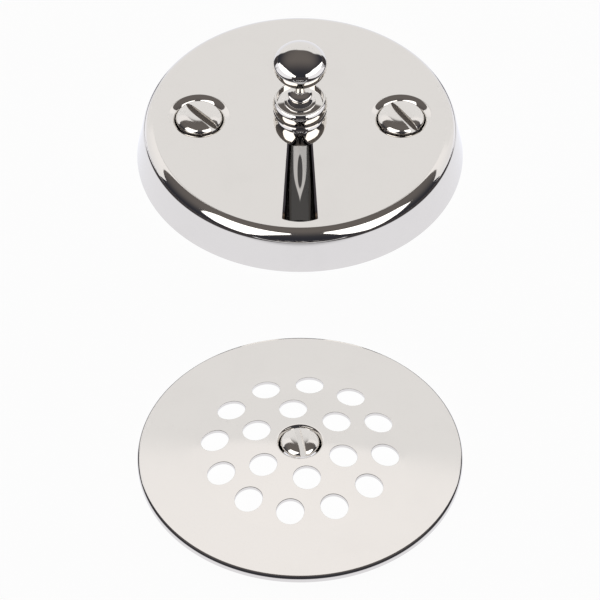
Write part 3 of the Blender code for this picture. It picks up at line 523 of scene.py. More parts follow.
class Value:
    """A shader socket on which arithmetic adds Math nodes, so that 1 - mask reads as it looks."""

    def __init__(self, nodes, socket):
        self.nodes = nodes
        self.socket = socket

    def math(self, operation, *others, clamp=False):
        inputs = dict(enumerate((self, *others)))
        return self.nodes.add("ShaderNodeMath", {"operation": operation, "use_clamp": clamp}, inputs)

    def __add__(self, other):
        return self.math("ADD", other)

    def __sub__(self, other):
        return self.math("SUBTRACT", other)

    def __rsub__(self, other):
        return self.nodes.add("ShaderNodeMath", {"operation": "SUBTRACT"}, {0: other, 1: self})

    def __mul__(self, other):
        return self.math("MULTIPLY", other)

    def __truediv__(self, other):
        return self.math("DIVIDE", other)

    __radd__ = __add__
    __rmul__ = __mul__

    def ramp(self, low, high):
        """Zero below low, one above high and smooth between them."""
        inputs = {"Value": self, "From Min": low, "From Max": high}
        return self.nodes.add("ShaderNodeMapRange", {"interpolation_type": "SMOOTHSTEP"}, inputs)


class Nodes:
    """The node tree of a material or a world."""

    def __init__(self, owner):
        owner.use_nodes = True
        self.tree = owner.node_tree
        self.tree.nodes.clear()

    def add(self, kind, settings=None, inputs=None, output=0):
        """A node of that type: its settings first, then its sockets' values or links."""
        node = self.tree.nodes.new(kind)
        for name, value in (settings or {}).items():
            setattr(node, name, value)
        for name, value in (inputs or {}).items():
            if isinstance(value, Value):
                self.tree.links.new(value.socket, node.inputs[name])
            else:
                node.inputs[name].default_value = value
        return Value(self, node.outputs[output])

    def colour_mix(self, factor, first, second):
        """A blend of two colours."""
        settings = {"data_type": "RGBA"}
        opaque = [(*c, 1.0) if isinstance(c, (tuple, list)) else c for c in (first, second)]
        return self.add("ShaderNodeMix", settings, {"Factor": factor, 6: opaque[0], 7: opaque[1]}, output=2)

    def place(self, centre=(0, 0, 0), turn=(0, 0, 0), scale=(1, 1, 1)):
        """Object coordinates about a centre, in turned axes."""
        object_space = self.add("ShaderNodeTexCoord", output=3)
        settings = {"vector_type": "TEXTURE"}
        inputs = {"Vector": object_space, "Location": centre, "Rotation": turn, "Scale": scale}
        return self.add("ShaderNodeMapping", settings, inputs)

    def part(self, at, index):
        """One of the three parts of a vector."""
        return self.add("ShaderNodeSeparateXYZ", None, {"Vector": at}, index)

    def vector_math(self, operation, first, second):
        """A number worked out from two vectors."""
        return self.add("ShaderNodeVectorMath", {"operation": operation}, {0: first, 1: second}, 1)

    def blend(self, factor, first, second):
        """A blend of two shaders."""
        return self.add("ShaderNodeMixShader", None, {0: factor, 1: first, 2: second})

    def noise(self, at, scale, detail=2.0, rough=0.5):
        """Soft noise from 0 to 1."""
        inputs = {"Vector": at, "Scale": scale, "Detail": detail, "Roughness": rough}
        return self.add("ShaderNodeTexNoise", None, inputs)

    def bump(self, height, distance, strength=1.0, after=None):
        """A normal raised by height x distance."""
        inputs = {"Height": height, "Distance": distance, "Strength": strength}
        if after is not None:
            inputs["Normal"] = after
        return self.add("ShaderNodeBump", None, inputs)

    def surface(self, **sockets):
        """The Principled surface of the material."""
        inputs = {name.replace("_", " ").title(): value for name, value in sockets.items()}
        for name, value in inputs.items():
            if isinstance(value, tuple) and len(value) == 3:
                inputs[name] = (*value, 1.0)
        shader = self.add("ShaderNodeBsdfPrincipled", None, inputs)
        self.add_output(shader)

    def add_output(self, shader, kind="ShaderNodeOutputMaterial"):
        """The output that shows a shader."""
        node = self.tree.nodes.new(kind)
        self.tree.links.new(shader.socket, node.inputs["Surface"])


def tinted(colour, share):
    """A colour times a share, which darkens or lightens it."""
    return tuple(c * share for c in colour)


def painted_arm_reflection(nodes, at):
    """Painted reflection on the arm, measured from its pivot: a long bright V with a dark oval in it.

    The V's half width is w (1 - t^3.5), with t from 0 at its top to 1 at its tip. The oval's rim is
    where (x / a)^2 + ((y - c) / b)^2 is one. Outside the V and inside the oval the arm is painted in shade."""
    across, along = nodes.part(at, 0), nodes.part(at, 1)
    down = (along * -1).ramp(-PAINTED_V_TOP, PAINTED_V_LENGTH - PAINTED_V_TOP)
    edge = (1 - down.math("POWER", PAINTED_V_POWER)) * PAINTED_V_HALF
    bright = (edge - across.math("ABSOLUTE")).ramp(0.0, PAINTED_V_EDGE)
    beside, beyond = across * (1 / PAINTED_OVAL_HALF), (along - PAINTED_OVAL_AT) * (1 / PAINTED_OVAL_REACH)
    return bright * (beside * beside + beyond * beyond).ramp(0.8, 1.2)


def nickel_finish(name, kind, centre=(0, 0, 0), share=1.0, painted_reflection=None):
    """Buffed nickel plate: clear reflection, faint cloudy haze, hairlines left by the buff, soft waves.

    Haze is how much the cloudy patches add to the roughness, and wave is the height of the slow waviness
    that buffing leaves on thin pressed metal. A share below one paints the whole piece in shade, and
    painted_reflection paints a reflection into its colour, with painted shade round it."""
    roughness, haze, wave = kind
    material = bpy.data.materials.new(name)
    nodes = Nodes(material)
    at = nodes.place(centre)
    cloud = nodes.noise(at, 90.0, 3.0, 0.6)
    fine = nodes.noise(nodes.place(centre, (0.3, 0.1, 0.7), (1.0, 0.06, 1.0)), 2600.0, 2.0, 0.6)
    # A share below one paints the whole piece darker, as painted shade
    colour = tinted(sizes("drain_looks").nickel, share)
    patch = cloud.ramp(0.45, 0.8)
    slow = nodes.bump(nodes.noise(at, 55.0, 1.0, 0.4), wave)
    hairline = nodes.bump(fine, BUFF_MARK, 0.35, after=slow)
    base = nodes.colour_mix(patch * 0.5, colour, tinted(colour, CLOUD_SHARE))
    # Painted reflection: outside its mask the colour is painted in shade
    if painted_reflection:
        base = nodes.colour_mix(painted_reflection(nodes, at), tinted(colour, PAINTED_SHADE_SHARE), base)
    nodes.surface(base_color=base, metallic=1.0,
                  roughness=patch * haze + fine * haze * 0.5 + roughness, normal=hairline)
    return material


def turned_finish(name, colour, roughness, axis="Z"):
    """Turned metal: tool lines round its axis, stained a little darker in patches."""
    material = bpy.data.materials.new(name)
    nodes = Nodes(material)
    at = nodes.place()
    lines = nodes.add("ShaderNodeTexWave", {"wave_type": "BANDS", "bands_direction": axis},
                      {"Vector": at, "Scale": math.pi / (10 * TOOL_PITCH), "Distortion": 0.6, "Detail": 1.0},
                      "Fac")
    stain = nodes.noise(at, 260.0, 3.0, 0.6)
    shade = nodes.colour_mix(stain.ramp(0.35, 0.75), colour, tinted(colour, STAIN_SHARE))
    nodes.surface(base_color=shade, metallic=1.0, roughness=stain * 0.16 + lines * 0.05 + roughness,
                  normal=nodes.bump(lines, TOOL_MARK, 0.5))
    return material


def sheet_finish(name, colour, roughness, grain=(1.0, 0.04, 1.0)):
    """Rolled sheet: fine streaks along the rolling direction and dull plating in patches."""
    material = bpy.data.materials.new(name)
    nodes = Nodes(material)
    streak = nodes.noise(nodes.place(scale=grain), 5200.0, 2.0, 0.6)
    patch = nodes.noise(nodes.place(), 330.0, 4.0, 0.6).ramp(0.3, 0.75)
    shade = nodes.colour_mix(patch, colour, tinted(colour, DULL_SHARE))
    nodes.surface(base_color=shade, metallic=1.0, roughness=patch * 0.14 + streak * 0.1 + roughness,
                  normal=nodes.bump(streak, ROLL_MARK, 0.5))
    return material


# Seats and screws

def seat_profile(head, shank, sink, wall, surface, round_over, steps=16):
    """Section of a pressed seat from the upper face to the lower, with the radii of its two ends.

    The cone follows its head at SEAT_GAP square to it, and rolls over into the upper face, whose
    height is surface(r), with the radius round_over."""
    rim, bore = head + SEAT_GAP / math.cos(SEAT_ANGLE), shank + SEAT_GAP
    cone_end = sink + (rim - bore) / math.tan(SEAT_ANGLE)
    outside = wall / math.cos(SEAT_ANGLE)
    mouth = rim + sink * math.tan(SEAT_ANGLE)
    low = bore + outside + (cone_end - wall) * math.tan(SEAT_ANGLE)
    roll = round_over * math.tan((QUARTER - SEAT_ANGLE) / 2)
    top_r, low_r = mouth + roll + RIM_EDGE, low + 6 * RIM_EDGE
    corners = [(top_r, surface(top_r), 0), (mouth, surface(mouth), round_over),
               (bore, -cone_end, RIM_EDGE / 2), (bore + outside, -cone_end, RIM_EDGE),
               (low, -wall, 2 * RIM_EDGE), (low_r, surface(low_r) - wall, 0)]
    return filleted(corners, steps), top_r, low_r


def slotted_head(head, oval, slot, depth):
    """Upper face of an oval head with its slot, and the loop of its rim.

    Rows run along the slot at y between -head and head, each from -w to w with w = sqrt(head^2 - y^2).
    The dome is z = oval (1 - (r / head)^4)^(1/2), flat in its middle and rolled at its edge; in the slot
    z is the flat at oval - depth, with a small round between them."""
    half, lip, floor = slot / 2, SLOT_EDGE, oval - depth
    outer = np.linspace(head, half + 2 * lip, 22)
    turn = np.linspace(0, QUARTER, 5)
    side_y = np.concatenate((outer, half + lip * (1 - np.sin(turn)), [half, half, half - lip, 0.0]))
    sunk = np.concatenate((np.zeros(22), lip * (1 - np.cos(turn)), [np.nan, -1.0, -1.0, -1.0]))
    y = np.concatenate((-side_y, side_y[-2::-1]))[:, None]
    sunk = np.concatenate((sunk, sunk[-2::-1]))[:, None]
    s = np.sin(np.linspace(-QUARTER, QUARTER, 33))[None, :]
    in_floor = sunk < 0
    reach = np.where(in_floor | np.isnan(sunk), head + min(floor, 0) * math.tan(SEAT_ANGLE), head)
    x = s * np.sqrt(np.maximum(reach ** 2 - y ** 2, 0))
    skin = oval * np.sqrt(1 - np.minimum((x ** 2 + y ** 2) / head ** 2, 1) ** 2)
    wall = np.minimum(skin - lip, floor + lip)
    z = np.where(in_floor, floor, np.where(np.isnan(sunk), wall, skin - np.nan_to_num(sunk)))
    points = np.stack((x, np.broadcast_to(y, x.shape), z), -1)
    rim = np.concatenate((points[:, -1], points[-2:0:-1, 0]))
    return (points.reshape(-1, 3), grid_faces(*x.shape, wrap=False)), rim


def screw_parts(head, shank, end, oval, slot, depth):
    """An oval head screw: slotted head, cone, and a thread down to a chamfered tip.

    The thread's radius is shank - d |2 frac(z / pitch - turn / 2 pi) - 1|, with d fading in over one
    pitch at the neck and out at the tip. Z = 0 is the head's rim and end is the tip's height."""
    pitch = sizes("drain_screws").pitch
    skin, rim = slotted_head(head, oval, slot, depth)
    turn = np.arctan2(rim[:, 1], rim[:, 0])
    neck = -(head - shank) / math.tan(SEAT_ANGLE)
    tip = end + shank / 2
    z = np.concatenate(([neck], np.linspace(neck - pitch / 2, tip, int((neck - tip) / pitch * 6))))[:, None]
    phase = z / pitch - turn[None, :] / FULL
    fade = np.clip((neck - z) / pitch, 0, 1) * np.clip((z - tip) / pitch, 0, 1)
    radius = shank - 0.6 * pitch * fade * np.abs(2 * (phase - np.floor(phase)) - 1)
    thread = np.stack((radius * np.cos(turn), radius * np.sin(turn), np.broadcast_to(z, radius.shape)), -1)
    last = np.column_stack((shank / 2 * np.cos(turn), shank / 2 * np.sin(turn), np.full(len(turn), end)))
    return [skin, rings(np.concatenate(([rim], thread, [last, last * (0, 0, 1)])))]


def set_screw(name, sizes_of, at, end, turn):
    """A screw turned by so many degrees, as it was left, with its head's rim at the point given."""
    turned_about = np.array(Matrix.Rotation(math.radians(turn), 3, "Z")).T
    parts = screw_parts(*sizes_of[:2], end - at[2], *sizes_of[2:])
    placed = [moved((points @ turned_about, faces), at) for points, faces in parts]
    return mesh_piece(name, placed, SCREW_SHARP)


# The face plate

def slot_loop(plate, growth):
    """The slot's outline about the knob's axis, carried outwards by growth along its own normal.

    A circle at the top, straight sides that lean out to the lower end, rounded corners, and a wide
    arc at the bottom."""
    lip = plate.slot_lip
    top, end = plate.slot_top - lip, plate.slot_end - lip
    radius, reach = plate.slot_end_radius - lip, plate.slot_length - lip
    sweep = math.asin(end / radius)
    low = arc((0, radius - reach), radius, -QUARTER - sweep, -QUARTER + sweep, 12)
    lean = math.atan2(end - top, -low[0, 1])
    high = arc((0, 0), top, lean, math.pi - lean, 40)
    corner = np.zeros(len(low))
    corner[[0, -1]] = CORNER_ROUND
    loop = np.vstack((np.column_stack((high, np.zeros(len(high)))), np.column_stack((low, corner))))
    return grown(filleted(np.vstack((loop[20:], loop[:21])))[:-1], growth)


def raised(loop, height):
    """A plan loop at one height."""
    return np.column_stack((loop, np.full(len(loop), height)))


def face_plate_parts():
    """The spun cap: flat top with a tapered slot and two dished seats, round shoulder, flared skirt."""
    plate, screws = sizes("drain_plate"), sizes("drain_screws")
    radius, wall, lip = PLATE_HIGH.x, plate.wall, plate.slot_lip
    centre_z, inside_z = FACE_Z - plate.shoulder, FACE_Z - wall
    centre_r = radius - (plate.shoulder / math.cos(plate.flare) + centre_z * math.tan(plate.flare))
    base = radius - wall / math.cos(plate.flare)
    outer = arc((centre_r, centre_z), plate.shoulder, QUARTER, plate.flare, 20)
    inner = arc((centre_r, centre_z), plate.shoulder - wall, plate.flare, QUARTER, 10)
    edge = filleted([(*outer[-1], 0), (radius, 0, RIM_EDGE), (base, 0, RIM_EDGE), (*inner[0], 0)])
    start, stop = [[centre_r - GUARD, FACE_Z]], [[centre_r - GUARD, inside_z]]
    parts = [turned(np.vstack((start, outer[:-1], edge, inner[1:], stop)), PLATE_STEPS)]
    rim = circle((0, 0), centre_r - GUARD, PLATE_STEPS)
    upper, lower = [], []
    section, top_r, low_r = seat_profile(screws.face_head, screws.face_shank, screws.face_sink,
                                         wall, lambda r: 0.0, plate.seat_round)
    post_x = (POST_LOW.x + POST_HIGH.x) / 2
    post = filleted([(plate.post_radius + 4 * RIM_EDGE, 0, 0), (plate.post_radius, 0, 2 * RIM_EDGE),
                     (plate.post_radius, -plate.post_length, 2 * RIM_EDGE), (0, -plate.post_length, 0)])
    for side in (-1, 1):
        seat = np.array((side * plate.screw_spacing / 2, plate.screw_rise))
        foot = np.array((side * post_x, -plate.post_drop))
        parts += [moved(turned(section, SEAT_STEPS), (*seat, FACE_Z)),
                  moved(turned(post, POST_STEPS), (*foot, inside_z))]
        upper.append(circle(seat, top_r, SEAT_STEPS))
        lower += [circle(seat, low_r, SEAT_STEPS), circle(foot, post[0, 0], POST_STEPS)]
    knob = np.array((0, KNOB_Y))
    turn = np.linspace(0, QUARTER, 9)
    rows = [(lip + GUARD, FACE_Z)] + list(zip(lip * (1 - np.sin(turn)), FACE_Z - lip * (1 - np.cos(turn))))
    rows += [(0.0, FACE_Z - lip - GUARD), (0.0, inside_z + GUARD), (0.0, inside_z), (GUARD, inside_z)]
    parts.append(rings([raised(slot_loop(plate, growth) + knob, z) for growth, z in rows]))
    upper.append(slot_loop(plate, lip + GUARD) + knob)
    lower.append(slot_loop(plate, GUARD) + knob)
    parts.append(pierced(rim, upper, lambda x, y: np.full_like(x, FACE_Z)))
    parts.append(pierced(rim, lower, lambda x, y: np.full_like(x, inside_z)))
    return parts


# The strainer

def dome_height(radius):
    """Height of the strainer's upper face: crease + sqrt(d^2 - r^2) - sqrt(d^2 - crease_r^2)."""
    strainer = sizes("drain_strainer")
    rise = np.sqrt(strainer.dome ** 2 - np.square(radius))
    return strainer.crease_height + rise - math.sqrt(strainer.dome ** 2 - strainer.crease_radius ** 2)


def hole_places():
    """Centres of the eighteen holes about the strainer's centre, ring by ring."""
    strainer = sizes("drain_strainer")
    rows = []
    for radius, (count, start) in ((strainer.outer_ring, OUTER_HOLES), (strainer.inner_ring, INNER_HOLES)):
        turn = math.radians(start) - FULL * np.arange(count) / count
        rows.append(radius * np.column_stack((np.cos(turn), np.sin(turn))))
    return np.vstack(rows)


def hole_wall(at, sheet, radius):
    """Wall of one drilled hole: rings at radius + growth, each at the dome's height less a depth."""
    turn, edge = np.linspace(0, QUARTER, 5), RIM_EDGE
    first, second = edge * (1 - np.sin(turn)), edge * (1 - np.cos(turn))
    growth = np.concatenate(([edge + GUARD], first, [0.0, 0.0], second / 2, [edge / 2 + GUARD]))
    depth = np.concatenate(([0.0], second, [edge + GUARD, sheet - edge / 2 - GUARD],
                            sheet - first / 2, [sheet]))
    t = np.arange(HOLE_STEPS) * FULL / HOLE_STEPS
    x = at[0] + (radius + growth)[:, None] * np.cos(t)
    y = at[1] + (radius + growth)[:, None] * np.sin(t)
    z = dome_height(np.hypot(x, y)) - depth[:, None]
    return rings(np.stack((x, y, z), -1))


def strainer_parts():
    """The pressed sheet: shallow dome with holes and a seat, soft crease, sloping flange, round edge."""
    strainer, screws = sizes("drain_strainer"), sizes("drain_screws")
    radius, sheet, crease = STRAINER_HIGH.x, strainer.sheet, strainer.crease_radius
    skirt, mouth = radius - strainer.edge_round, dome_height(screws.strainer_head)
    shoulder = arc((skirt, strainer.edge - strainer.edge_round), strainer.edge_round, QUARTER, 0, 12)
    slope = (crease - CREASE_INSET, dome_height(crease - CREASE_INSET))
    over = filleted([(*slope, 0), (crease, strainer.crease_height, CREASE_ROUND),
                     (skirt, strainer.edge, 0)], 10)
    edge = filleted([(radius, strainer.edge - strainer.edge_round, 0), (radius, 0, RIM_EDGE),
                     (radius - sheet, 0, RIM_EDGE), (radius - sheet, strainer.edge - sheet, 2 * RIM_EDGE),
                     (crease, strainer.crease_height - sheet, CREASE_UNDER),
                     (slope[0], slope[1] - sheet, 0)], 8)
    parts = [turned(np.vstack((over[:-1], shoulder[:-1], edge)), STRAINER_STEPS)]
    section, top_r, low_r = seat_profile(screws.strainer_head, screws.strainer_shank, screws.strainer_sink,
                                         sheet, lambda r: dome_height(r) - mouth, strainer.seat_round)
    parts.append(moved(turned(section, SEAT_STEPS), (0, 0, mouth)))
    places = hole_places()
    parts += [hole_wall(at, sheet, strainer.hole) for at in places]
    rim = circle((0, 0), slope[0], STRAINER_STEPS)
    step = LATTICE_STEP
    i, j = np.meshgrid(np.arange(-30, 31), np.arange(-34, 35))
    lattice = np.stack((i * step + (j % 2) * step / 2, j * step * math.sqrt(0.75)), -1).reshape(-1, 2)
    for side, growth, middle in ((0.0, RIM_EDGE + GUARD, top_r), (sheet, RIM_EDGE / 2 + GUARD, low_r)):
        reach = np.hypot(*lattice.T)
        away = np.hypot(*(lattice[:, None] - places).T).min(0) > strainer.hole + growth + step / 3
        kept = lattice[(reach < slope[0] - step / 3) & (reach > middle + step / 3) & away]
        holes = [circle(at, strainer.hole + growth, HOLE_STEPS) for at in places]
        parts.append(pierced(rim, holes + [circle((0, 0), middle, SEAT_STEPS)],
                             lambda x, y: dome_height(np.hypot(x, y)) - side, kept))
    return [moved(part, (0, STRAINER_Y, 0)) for part in parts]


# The lever

def arm_bar():
    """The half-round bar that fills the slot, through sections square to Y.

    Each section is an arc of radius c over sides that lean in to a flat bottom. At the distance a
    from the knob its top has fallen by arm_drop (a / length)^2, while c and the half width h grow
    evenly. At the knob the sections close round in plan, each at a = -h sin t with half width h cos t."""
    lever = sizes("drain_lever")
    reach, top_half = KNOB_Y - PIVOT.y, lever.arm_top_half
    round_end = np.radians(np.linspace(84, 4, 14))
    share = np.linspace(0, 1, 60)
    along = np.concatenate((-top_half * np.sin(round_end), (reach + lever.past_pivot) * share))
    half = np.concatenate((top_half * np.cos(round_end), top_half + (lever.arm_end_half - top_half) * share))
    share = np.concatenate((np.zeros(14), share))
    crown = FACE_Z - lever.arm_drop * np.square(np.maximum(along, 0) / reach)
    radius = lever.arm_top_crown + (lever.arm_end_crown - lever.arm_top_crown) * share
    sweep = np.linspace(-1, 1, 33)[None, :] * np.arcsin(half / radius)[:, None]
    low = np.minimum(half, lever.hub_half - 3 * RIM_EDGE)
    x = np.column_stack((-low, radius[:, None] * np.sin(sweep), low))
    z = crown[:, None] - radius[:, None] * (1 - np.cos(sweep))
    bottom = np.full(len(along), FACE_Z - lever.arm_depth)
    z = np.column_stack((bottom, z, bottom))
    return capped(np.stack((x, np.broadcast_to((KNOB_Y - along)[:, None], x.shape), z), -1))


def cross_bar(radius, half, edge, steps=64):
    """A cylinder along X through the origin, its two ends rounded by an edge radius."""
    section = filleted([(0, -half, 0), (radius, -half, edge), (radius, half, edge), (0, half, 0)])
    points, faces = turned(section, steps)
    return points[:, [2, 1, 0]], faces


def lever_arm():
    """The cast lever: half-round bar, hub on its pin, and the tail with the eye that lifts the linkage.

    The tail is a side outline, straight from the hub and round at its eye, carried across X with
    rounded edges: loops grown by e (sin t - 1) at x = half - e (1 - cos t) from each side."""
    lever = sizes("drain_lever")
    pivot = np.array(PIVOT)
    arm = mesh_piece("trip_arm", [arm_bar()])
    hub = cross_bar(lever.hub_radius, lever.hub_half, 3 * RIM_EDGE)
    cut(arm, mesh_piece("hub", [moved(hub, pivot)]), "UNION")
    angle = lever.tail_angle
    along = np.array((math.cos(angle), -math.sin(angle)))
    across = np.array((math.sin(angle), math.cos(angle)))
    thick, end = lever.tail_thickness / 2, along * lever.tail_length
    open_half = math.pi - math.asin(thick / lever.eye_radius)
    eye = arc(end, lever.eye_radius, -angle - open_half, -angle + open_half, 40)
    root = along * lever.hub_radius / 2
    outline = guarded(np.vstack(([root + across * thick, root - across * thick], eye,
                                 [root + across * thick])))[:-1]
    t = np.linspace(0, QUARTER, 6)
    edge = 3 * RIM_EDGE
    side = list(zip(lever.tail_half - edge * (1 - np.sin(QUARTER - t)), -edge * (1 - np.cos(QUARTER - t))))
    rows = [(-x, growth) for x, growth in side] + [(x, growth) for x, growth in side[::-1]]
    loops = [np.column_stack((np.full(len(outline), x), grown(outline, growth))) for x, growth in rows]
    cut(arm, mesh_piece("tail", [moved(capped(loops), pivot)]), "UNION")
    for radius, place in ((lever.bore, pivot), (lever.eye_hole, pivot + (0, *end))):
        cut(arm, mesh_piece("bore", [moved(cross_bar(radius, 2 * lever.hub_half, 0.0), place)]))
    tap = turned([(0, -lever.tap_depth), (lever.tap, -lever.tap_depth), (lever.tap, MM), (0, MM)], 64)
    return cut(arm, mesh_piece("tap", [moved(tap, (0, KNOB_Y, FACE_Z))]))


def cove(start, end, steps=14):
    """A hollow quarter ellipse that leaves start level and reaches end upright."""
    t = np.linspace(0, QUARTER, steps + 1)
    return np.column_stack((start[0] + (end[0] - start[0]) * np.sin(t),
                            start[1] + (end[1] - start[1]) * (1 - np.cos(t))))


def on_knob_axis(profile):
    """A piece turned about the knob's axis, from radii and heights above the plate's face."""
    return moved(turned(profile, KNOB_STEPS), (0, KNOB_Y, FACE_Z))


def swell(inner, outer, height, rise, start, steps=24):
    """Part of an ellipse: (inner + (outer - inner) cos t, height + rise sin t), from t = start to its top."""
    t = np.linspace(start, QUARTER, steps + 1)
    return np.column_stack((inner + (outer - inner) * np.cos(t), height + rise * np.sin(t)))


def knob_profile():
    """The knob: blind hole, sloping foot with a tier, bead, thin neck and an oblate ball."""
    knob = sizes("drain_knob")
    bore, foot, hole_top = knob.stud + SEAT_GAP, knob.dish_height + SEAT_GAP, knob.stud_reach + SEAT_GAP
    start = -math.acos(knob.neck / knob.ball_radius)
    ball = swell(0, knob.ball_radius, knob.ball_height, knob.ball_half, start, 72)
    ball[-1, 0] = 0
    tier = swell(knob.waist, knob.tier, knob.tier_height, knob.tier_rise, 0)
    bead = swell(knob.bead_inner, knob.bead, knob.bead_height, knob.bead_rise, BEAD_START)
    lower = filleted([(0, hole_top, 0), (bore, hole_top, 0), (bore, foot, RIM_EDGE),
                      (knob.foot, foot, RIM_EDGE / 2), (knob.foot, foot + knob.foot_edge, RIM_EDGE / 2),
                      (*tier[0], 0)])
    return np.vstack((lower, tier[1:], bead, cove(bead[-1], (knob.neck, knob.neck_height))[1:], ball))


def collar_profile():
    """The collar: ring, bowl of one radius, thin lip, bulged band, round rim and a dished top."""
    knob = sizes("drain_knob")
    bore = knob.stud + SEAT_GAP
    start = math.asin(knob.ring / knob.bowl) - QUARTER
    stop = math.asin((knob.lip_height - knob.bowl_centre) / knob.bowl)
    bowl = arc((0, knob.bowl_centre), knob.bowl, start, stop, 40)
    foot = knob.lip_height + 2 * knob.lip_thickness
    half = (knob.rim_height - knob.rim_round - foot) / 2
    bend = (half ** 2 + knob.band_bulge ** 2) / (2 * knob.band_bulge)
    sweep = math.asin(half / bend)
    band = arc((knob.band_foot + knob.band_bulge - bend, foot + half), bend, -sweep, sweep, 24)
    ring = filleted([(bore, SEAT_GAP, 0), (knob.ring, SEAT_GAP, RIM_EDGE), (*bowl[0], 0)])
    top = knob.rim_height
    rim = filleted([(*band[-1], 0), (knob.band_foot - knob.rim_round / 2, top, RIM_EDGE),
                    (knob.dish, top, RIM_EDGE), (knob.dish, knob.dish_height, 2 * RIM_EDGE),
                    (bore, knob.dish_height, 0), (bore, SEAT_GAP, 0)], 8)
    lip = [(knob.lip, knob.lip_height), (knob.lip, knob.lip_height + knob.lip_thickness)]
    return np.vstack((ring, bowl[1:], lip, band[:-1], rim))


# The stage

def direction(azimuth, elevation):
    """Unit vector of a direction in degrees: azimuth from +Y towards +X, elevation from level."""
    a, e = math.radians(azimuth), math.radians(elevation)
    return Vector((math.cos(e) * math.sin(a), math.cos(e) * math.cos(a), math.sin(e)))


def board(nodes, at, corners):
    """Where a view direction falls on a light board whose corners are directions.

    The board is the product of smooth half-spaces, one for each plane through two corners."""
    points = [direction(*corner) for corner in corners]
    middle = sum(points, Vector())
    mask = None
    for here, ahead in zip(points, points[1:] + points[:1]):
        normal = here.cross(ahead).normalized()
        if normal.dot(middle) < 0:
            normal.negate()
        side = nodes.vector_math("DOT_PRODUCT", at, normal[:]).ramp(-BOARD_EDGE, BOARD_EDGE)
        mask = side if mask is None else mask * side
    return mask


def light_sheet(name, points, shade, receivers, masked=False):
    """A sheet of light, clear to see through, which lights only the receivers.

    A masked sheet is dark where the board of the room already shines."""
    made = mesh_piece(name, [(points, [list(range(len(points)))])])
    material = bpy.data.materials.new(name)
    nodes = Nodes(material)
    colour = (*shade, 1.0)
    if masked:
        at = nodes.add("ShaderNodeVectorMath", {"operation": "NORMALIZE"}, {0: nodes.place()})
        colour = nodes.colour_mix(board(nodes, at, BACK_BOARD), shade, (0.0, 0.0, 0.0))
    glow = nodes.add("ShaderNodeEmission", None, {"Color": colour, "Strength": 1.0})
    clear = nodes.add("ShaderNodeBsdfTransparent")
    nodes.add_output(nodes.add("ShaderNodeAddShader", None, {0: glow, 1: clear}))
    made.data.materials.append(material)
    made.visible_camera = made.visible_shadow = False
    lit = bpy.data.collections.new(name)
    for receiver in receivers:
        lit.objects.link(receiver)
    made.light_linking.receiver_collection = lit


def panel(name, corners, tint, receivers, masked=False):
    """A far light sheet through the directions given.

    Each corner d lies at d D / (d . m), on the plane square to the middle direction m."""
    points = np.array([direction(*corner)[:] for corner in corners])
    middle = points.mean(0) / np.linalg.norm(points.mean(0))
    light_sheet(name, points / (points @ middle)[:, None] * PANEL_DISTANCE, tint, receivers, masked)


def floor_patch(name, corners, side, receivers):
    """A pale stretch of floor that only the receivers mirror, on the left or the right."""
    corners = np.array([(side * x * MM, y * MM, FLOOR_Z + PATCH_RISE) for x, y in corners])
    light_sheet(name, corners, NEAR_TINT, receivers)


def studio_panels(context):
    """Soft boxes and floor patches for the knob and its collar, and others for the plate's pieces.

    Boards light the plate and the screws from both sides, the arm from above, and the strainer."""
    light, made = sizes("drain_light"), bpy.data.objects
    knob = [made["trip_knob"], made["collar"]]
    apart = {"floor", "trip_knob", "collar", "trip_arm", "bath_strainer"}
    others = [piece for piece in context.scene.objects if piece.type == "MESH" and piece.name not in apart]
    polished = [piece for piece in others if piece.name.startswith("o")]
    white, warm = (light.side,) * 3, tinted(BACK_TINT, light.back)
    studio = zip(("left", "right"), (-1, 1), KNOB_BOXES, PLATE_BOXES, PLATE_BOARDS)
    for word, side, low, high, wide in studio:
        panel("knob_box_" + word, low, white, knob)
        panel("plate_box_" + word, high, white, others)
        panel("plate_board_" + word, wide, warm, polished, masked=True)
        floor_patch("knob_floor_" + word, KNOB_PATCH, side, knob)
        floor_patch("plate_floor_" + word, PLATE_PATCH, side, others)
    panel("arm_board", ARM_BOARD, warm, [made["trip_arm"]], masked=True)
    panel("strainer_board", STRAINER_BOARD, warm, [made["bath_strainer"]], masked=True)


def studio_world():
    """A dark room with a warm board behind, seen by reflections only.

    The camera sees plain white; under the floor's level the room is a plain grey."""
    light, looks = sizes("drain_light"), sizes("drain_looks")
    world = bpy.data.worlds.new("studio")
    bpy.context.scene.world = world
    nodes = Nodes(world)
    at = nodes.add("ShaderNodeTexCoord", output=0)
    height, depth = nodes.part(at, 2), nodes.part(at, 1)
    lift = height.ramp(*LIFT_UP) * depth.ramp(*LIFT_BACK)
    room = nodes.colour_mix(lift, tinted(FRONT_TINT, light.room), tinted(TOP_TINT, light.room))
    back = nodes.colour_mix(board(nodes, at, BACK_BOARD), room, tinted(BACK_TINT, light.back))
    whole = nodes.colour_mix(height.ramp(-0.02, 0.0), tuple(looks.floor), back)
    seen = nodes.add("ShaderNodeLightPath", output=0)
    studio = nodes.add("ShaderNodeBackground", None, {"Color": whole, "Strength": 1.0})
    white = nodes.add("ShaderNodeBackground", None, {"Color": (1.0, 1.0, 1.0, 1.0), "Strength": 1.0})
    nodes.add_output(nodes.blend(seen, studio, white), "ShaderNodeOutputWorld")


